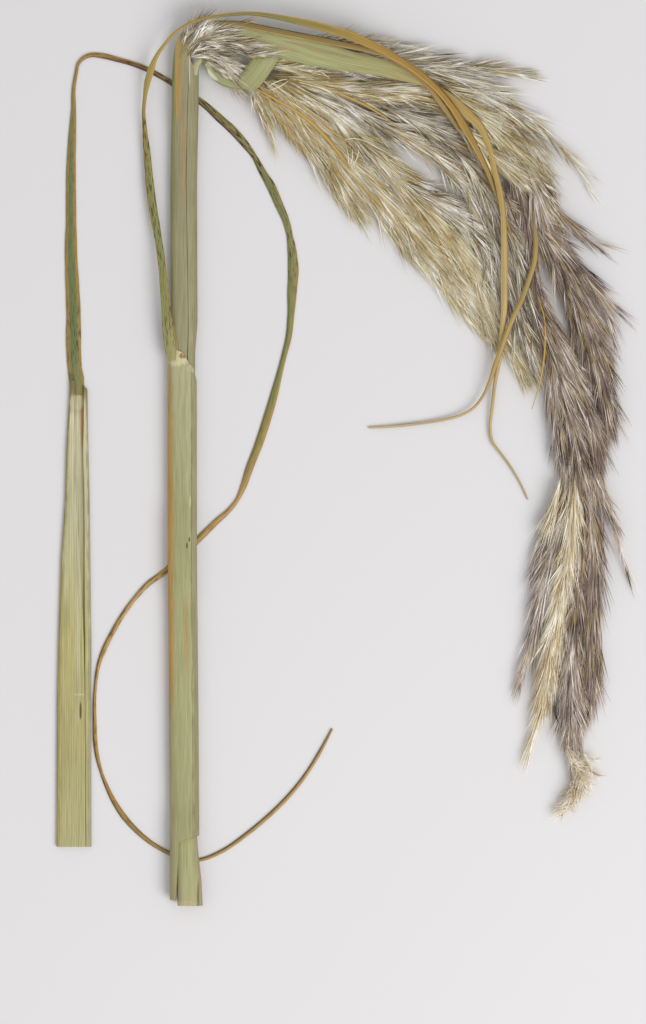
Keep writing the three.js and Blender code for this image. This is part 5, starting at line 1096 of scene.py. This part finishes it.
axes = {"Primary Axis": heading, "Secondary Axis": side}
turned = node("FunctionNodeAxesToRotation", axes, primary_axis="Z", secondary_axis="X")
flipped = node(MATH, {0: side_pick, 1: 0.5}, operation="GREATER_THAN")
spin = node(MATH, {0: turn, 1: TWIST}, operation="MULTIPLY")
spin = node(MATH, {0: flipped, 1: math.pi, 2: spin}, operation="MULTIPLY_ADD")
spin = node("FunctionNodeAxisAngleToRotation", {"Axis": (0, 0, 1), "Angle": spin})
turned = {"Rotation": turned, "Rotate By": spin}
turned = node("FunctionNodeRotateRotation", turned, rotation_space="LOCAL")
wanted = node(MATH, {0: reach, 1: fullness}, operation="MULTIPLY")
wanted = node(MATH, {0: wanted, 1: given["Widest"]}, operation="DIVIDE")
kept = node(MATH, {0: keep, 1: wanted}, operation="LESS_THAN")
pick = node(MATH, {0: variant, 1: LOCK_KINDS - 0.01}, operation="MULTIPLY")
pick = node(MATH, {0: pick}, operation="FLOOR")
placed = node("GeometryNodeSetPosition", {"Geometry": points, "Offset": moved})
placed = node(STORE, {"Geometry": placed, "Name": "lock", "Value": lock}, **PER_POINT)
size = node(MATH, {0: size, 1: ending}, operation="MULTIPLY")
size = node("ShaderNodeCombineXYZ", {"X": 1.0, "Y": 1.0, "Z": size})
hairs = {
    "Points": placed,
    "Selection": kept,
    "Instance": locks,
    "Pick Instance": True,
    "Instance Index": pick,
    "Rotation": turned,
    "Scale": size,
}
hairs = node("GeometryNodeInstanceOnPoints", hairs)
hairs = node("GeometryNodeRealizeInstances", {"Geometry": hairs})
spot = node("GeometryNodeInputPosition")
spot = node(VECTOR, {0: spot, 1: (-9, -9, LOWEST)}, operation="MAXIMUM")
hairs = node("GeometryNodeSetPosition", {"Geometry": hairs, "Position": spot})

# the branch itself
ring = node("GeometryNodeCurvePrimitiveCircle", {"Resolution": 6, "Radius": 0.5})
wire = {"Curve": curve, "Profile Curve": ring, "Scale": thick, "Fill Caps": True}
wire = node("GeometryNodeCurveToMesh", wire)
wire = node(STORE, {"Geometry": wire, "Name": "stalk", "Value": shade}, **PER_POINT)
whole = node("GeometryNodeJoinGeometry")
for part in (hairs, wire):
    lock_tree.links.new(part.outputs[0], whole.inputs[0])
ended = node("GeometryNodeRealizeInstances", {"Geometry": whole})
ended = node("GeometryNodeSetMaterial", {"Geometry": ended, "Material": given["Finish"]})
node("NodeGroupOutput", {"Spray": ended})

SPRAY_STEP = 2.0  # mm between the points of a branch
MAIN_BRANCH = (0.15, 0.35, 0.6)  # mm thick at its ends and middle, shade
DEEPEST, DEPTH_SHARE = 1.5, 0.3  # how far locks lie over and under their branch: mm, share of its height
FALL, FALL_FROM, FALL_TO = 0.6, 6.5, 1.2  # share of the way down between two heights that outer locks sink
WIDE_SPRAY = 4  # mm, the reach from which they sink all of it
SHORTEST = 12  # mm, the hairs at a branch's very end
TUFT_CURL, HAIR_CURL = 0.003, 0.001  # m that a hair bends at its tip
FIRST_SEED = 40


def grown_spray(name, routes, bare, hair, values):
    """A spray's mesh from the geometry nodes, made plain. hair is the hair length in mm."""
    rows = {kind: [] for kind in ("reach", "fullness", "depth", "fall", "thickness", "shade", "ending")}
    points, edges = [], []
    for ends, middle, shade, route in [(*MAIN_BRANCH, route) for route in routes] + bare:
        line = smooth_route(route, SPRAY_STEP)
        edges += [(len(points) + i, len(points) + i + 1) for i in range(len(line) - 1)]
        for number, (row, point, ahead, (reach, fullness)) in enumerate(line):
            points.append(place(*point))
            depth = min(DEEPEST, DEPTH_SHARE * point.z)
            fall = FALL * max(0.0, min(point.z, FALL_FROM) - FALL_TO) * min(1.0, reach / WIDE_SPRAY)
            thickness = ends + (middle - ends) * math.sin(math.pi * row / (len(route) - 1))
            ending = min(1.0, (SPRAY_STEP * (len(line) - 1 - number) + SHORTEST) / hair)
            for kind, value in zip(rows, (reach, fullness, depth, fall, thickness, shade, ending)):
                rows[kind].append(value if kind in ("fullness", "shade", "ending") else value / 1000)
    mesh = bpy.data.meshes.new(name)
    mesh.from_pydata(points, edges, [])
    for kind, numbers in rows.items():
        mesh.attributes.new(kind, "FLOAT", "POINT").data.foreach_set("value", numbers)
    made = in_scene(name, mesh)
    growth = made.modifiers.new("growth", "NODES")
    growth.node_group = lock_tree
    for item in lock_tree.interface.items_tree:
        if item.name in values:
            growth[item.identifier] = values[item.name]
    finished = bpy.data.meshes.new_from_object(made.evaluated_get(bpy.context.evaluated_depsgraph_get()))
    made.modifiers.remove(growth)
    made.data = finished
    return made


# One silky finish for each tone of the plume, from blond to purple-brown, so that areas of the plume
# read as different as they do in a real pressed one.
hair_finishes = {
    tone: hair_material(f"silky_{tone}_hair", codes, GOLDEN_SHARE[tone]) for tone, codes in HAIR_TONES_SHADE_AND_GLINTS.items()
}
for number, (name, (tone, length, waver, routes)) in enumerate(SPRAYS.items()):
    values = {
        "Lock spacing": 0.001 / (2 * WIDEST * LOCKS_PER_MM2),
        "Hairs in a lock": HAIRS_IN_LOCK,
        "Hair length": HAIR_LENGTH * length / 1000,
        "Hair width": HAIR_WIDTH / 1000,
        "Waver": waver,
        "Curl": TUFT_CURL if name == "tail_tuft" else HAIR_CURL,
        "Widest": WIDEST / 1000,
        "Seed": FIRST_SEED + number,
        "Finish": hair_finishes[tone],
    }
    bare = BARE_BRANCHES.get(name, [])
    spray = grown_spray(f"spray_{name}_hairs", routes, bare, HAIR_LENGTH * length, values)
    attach(spray, "root")
    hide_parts(f"spray_{name}")
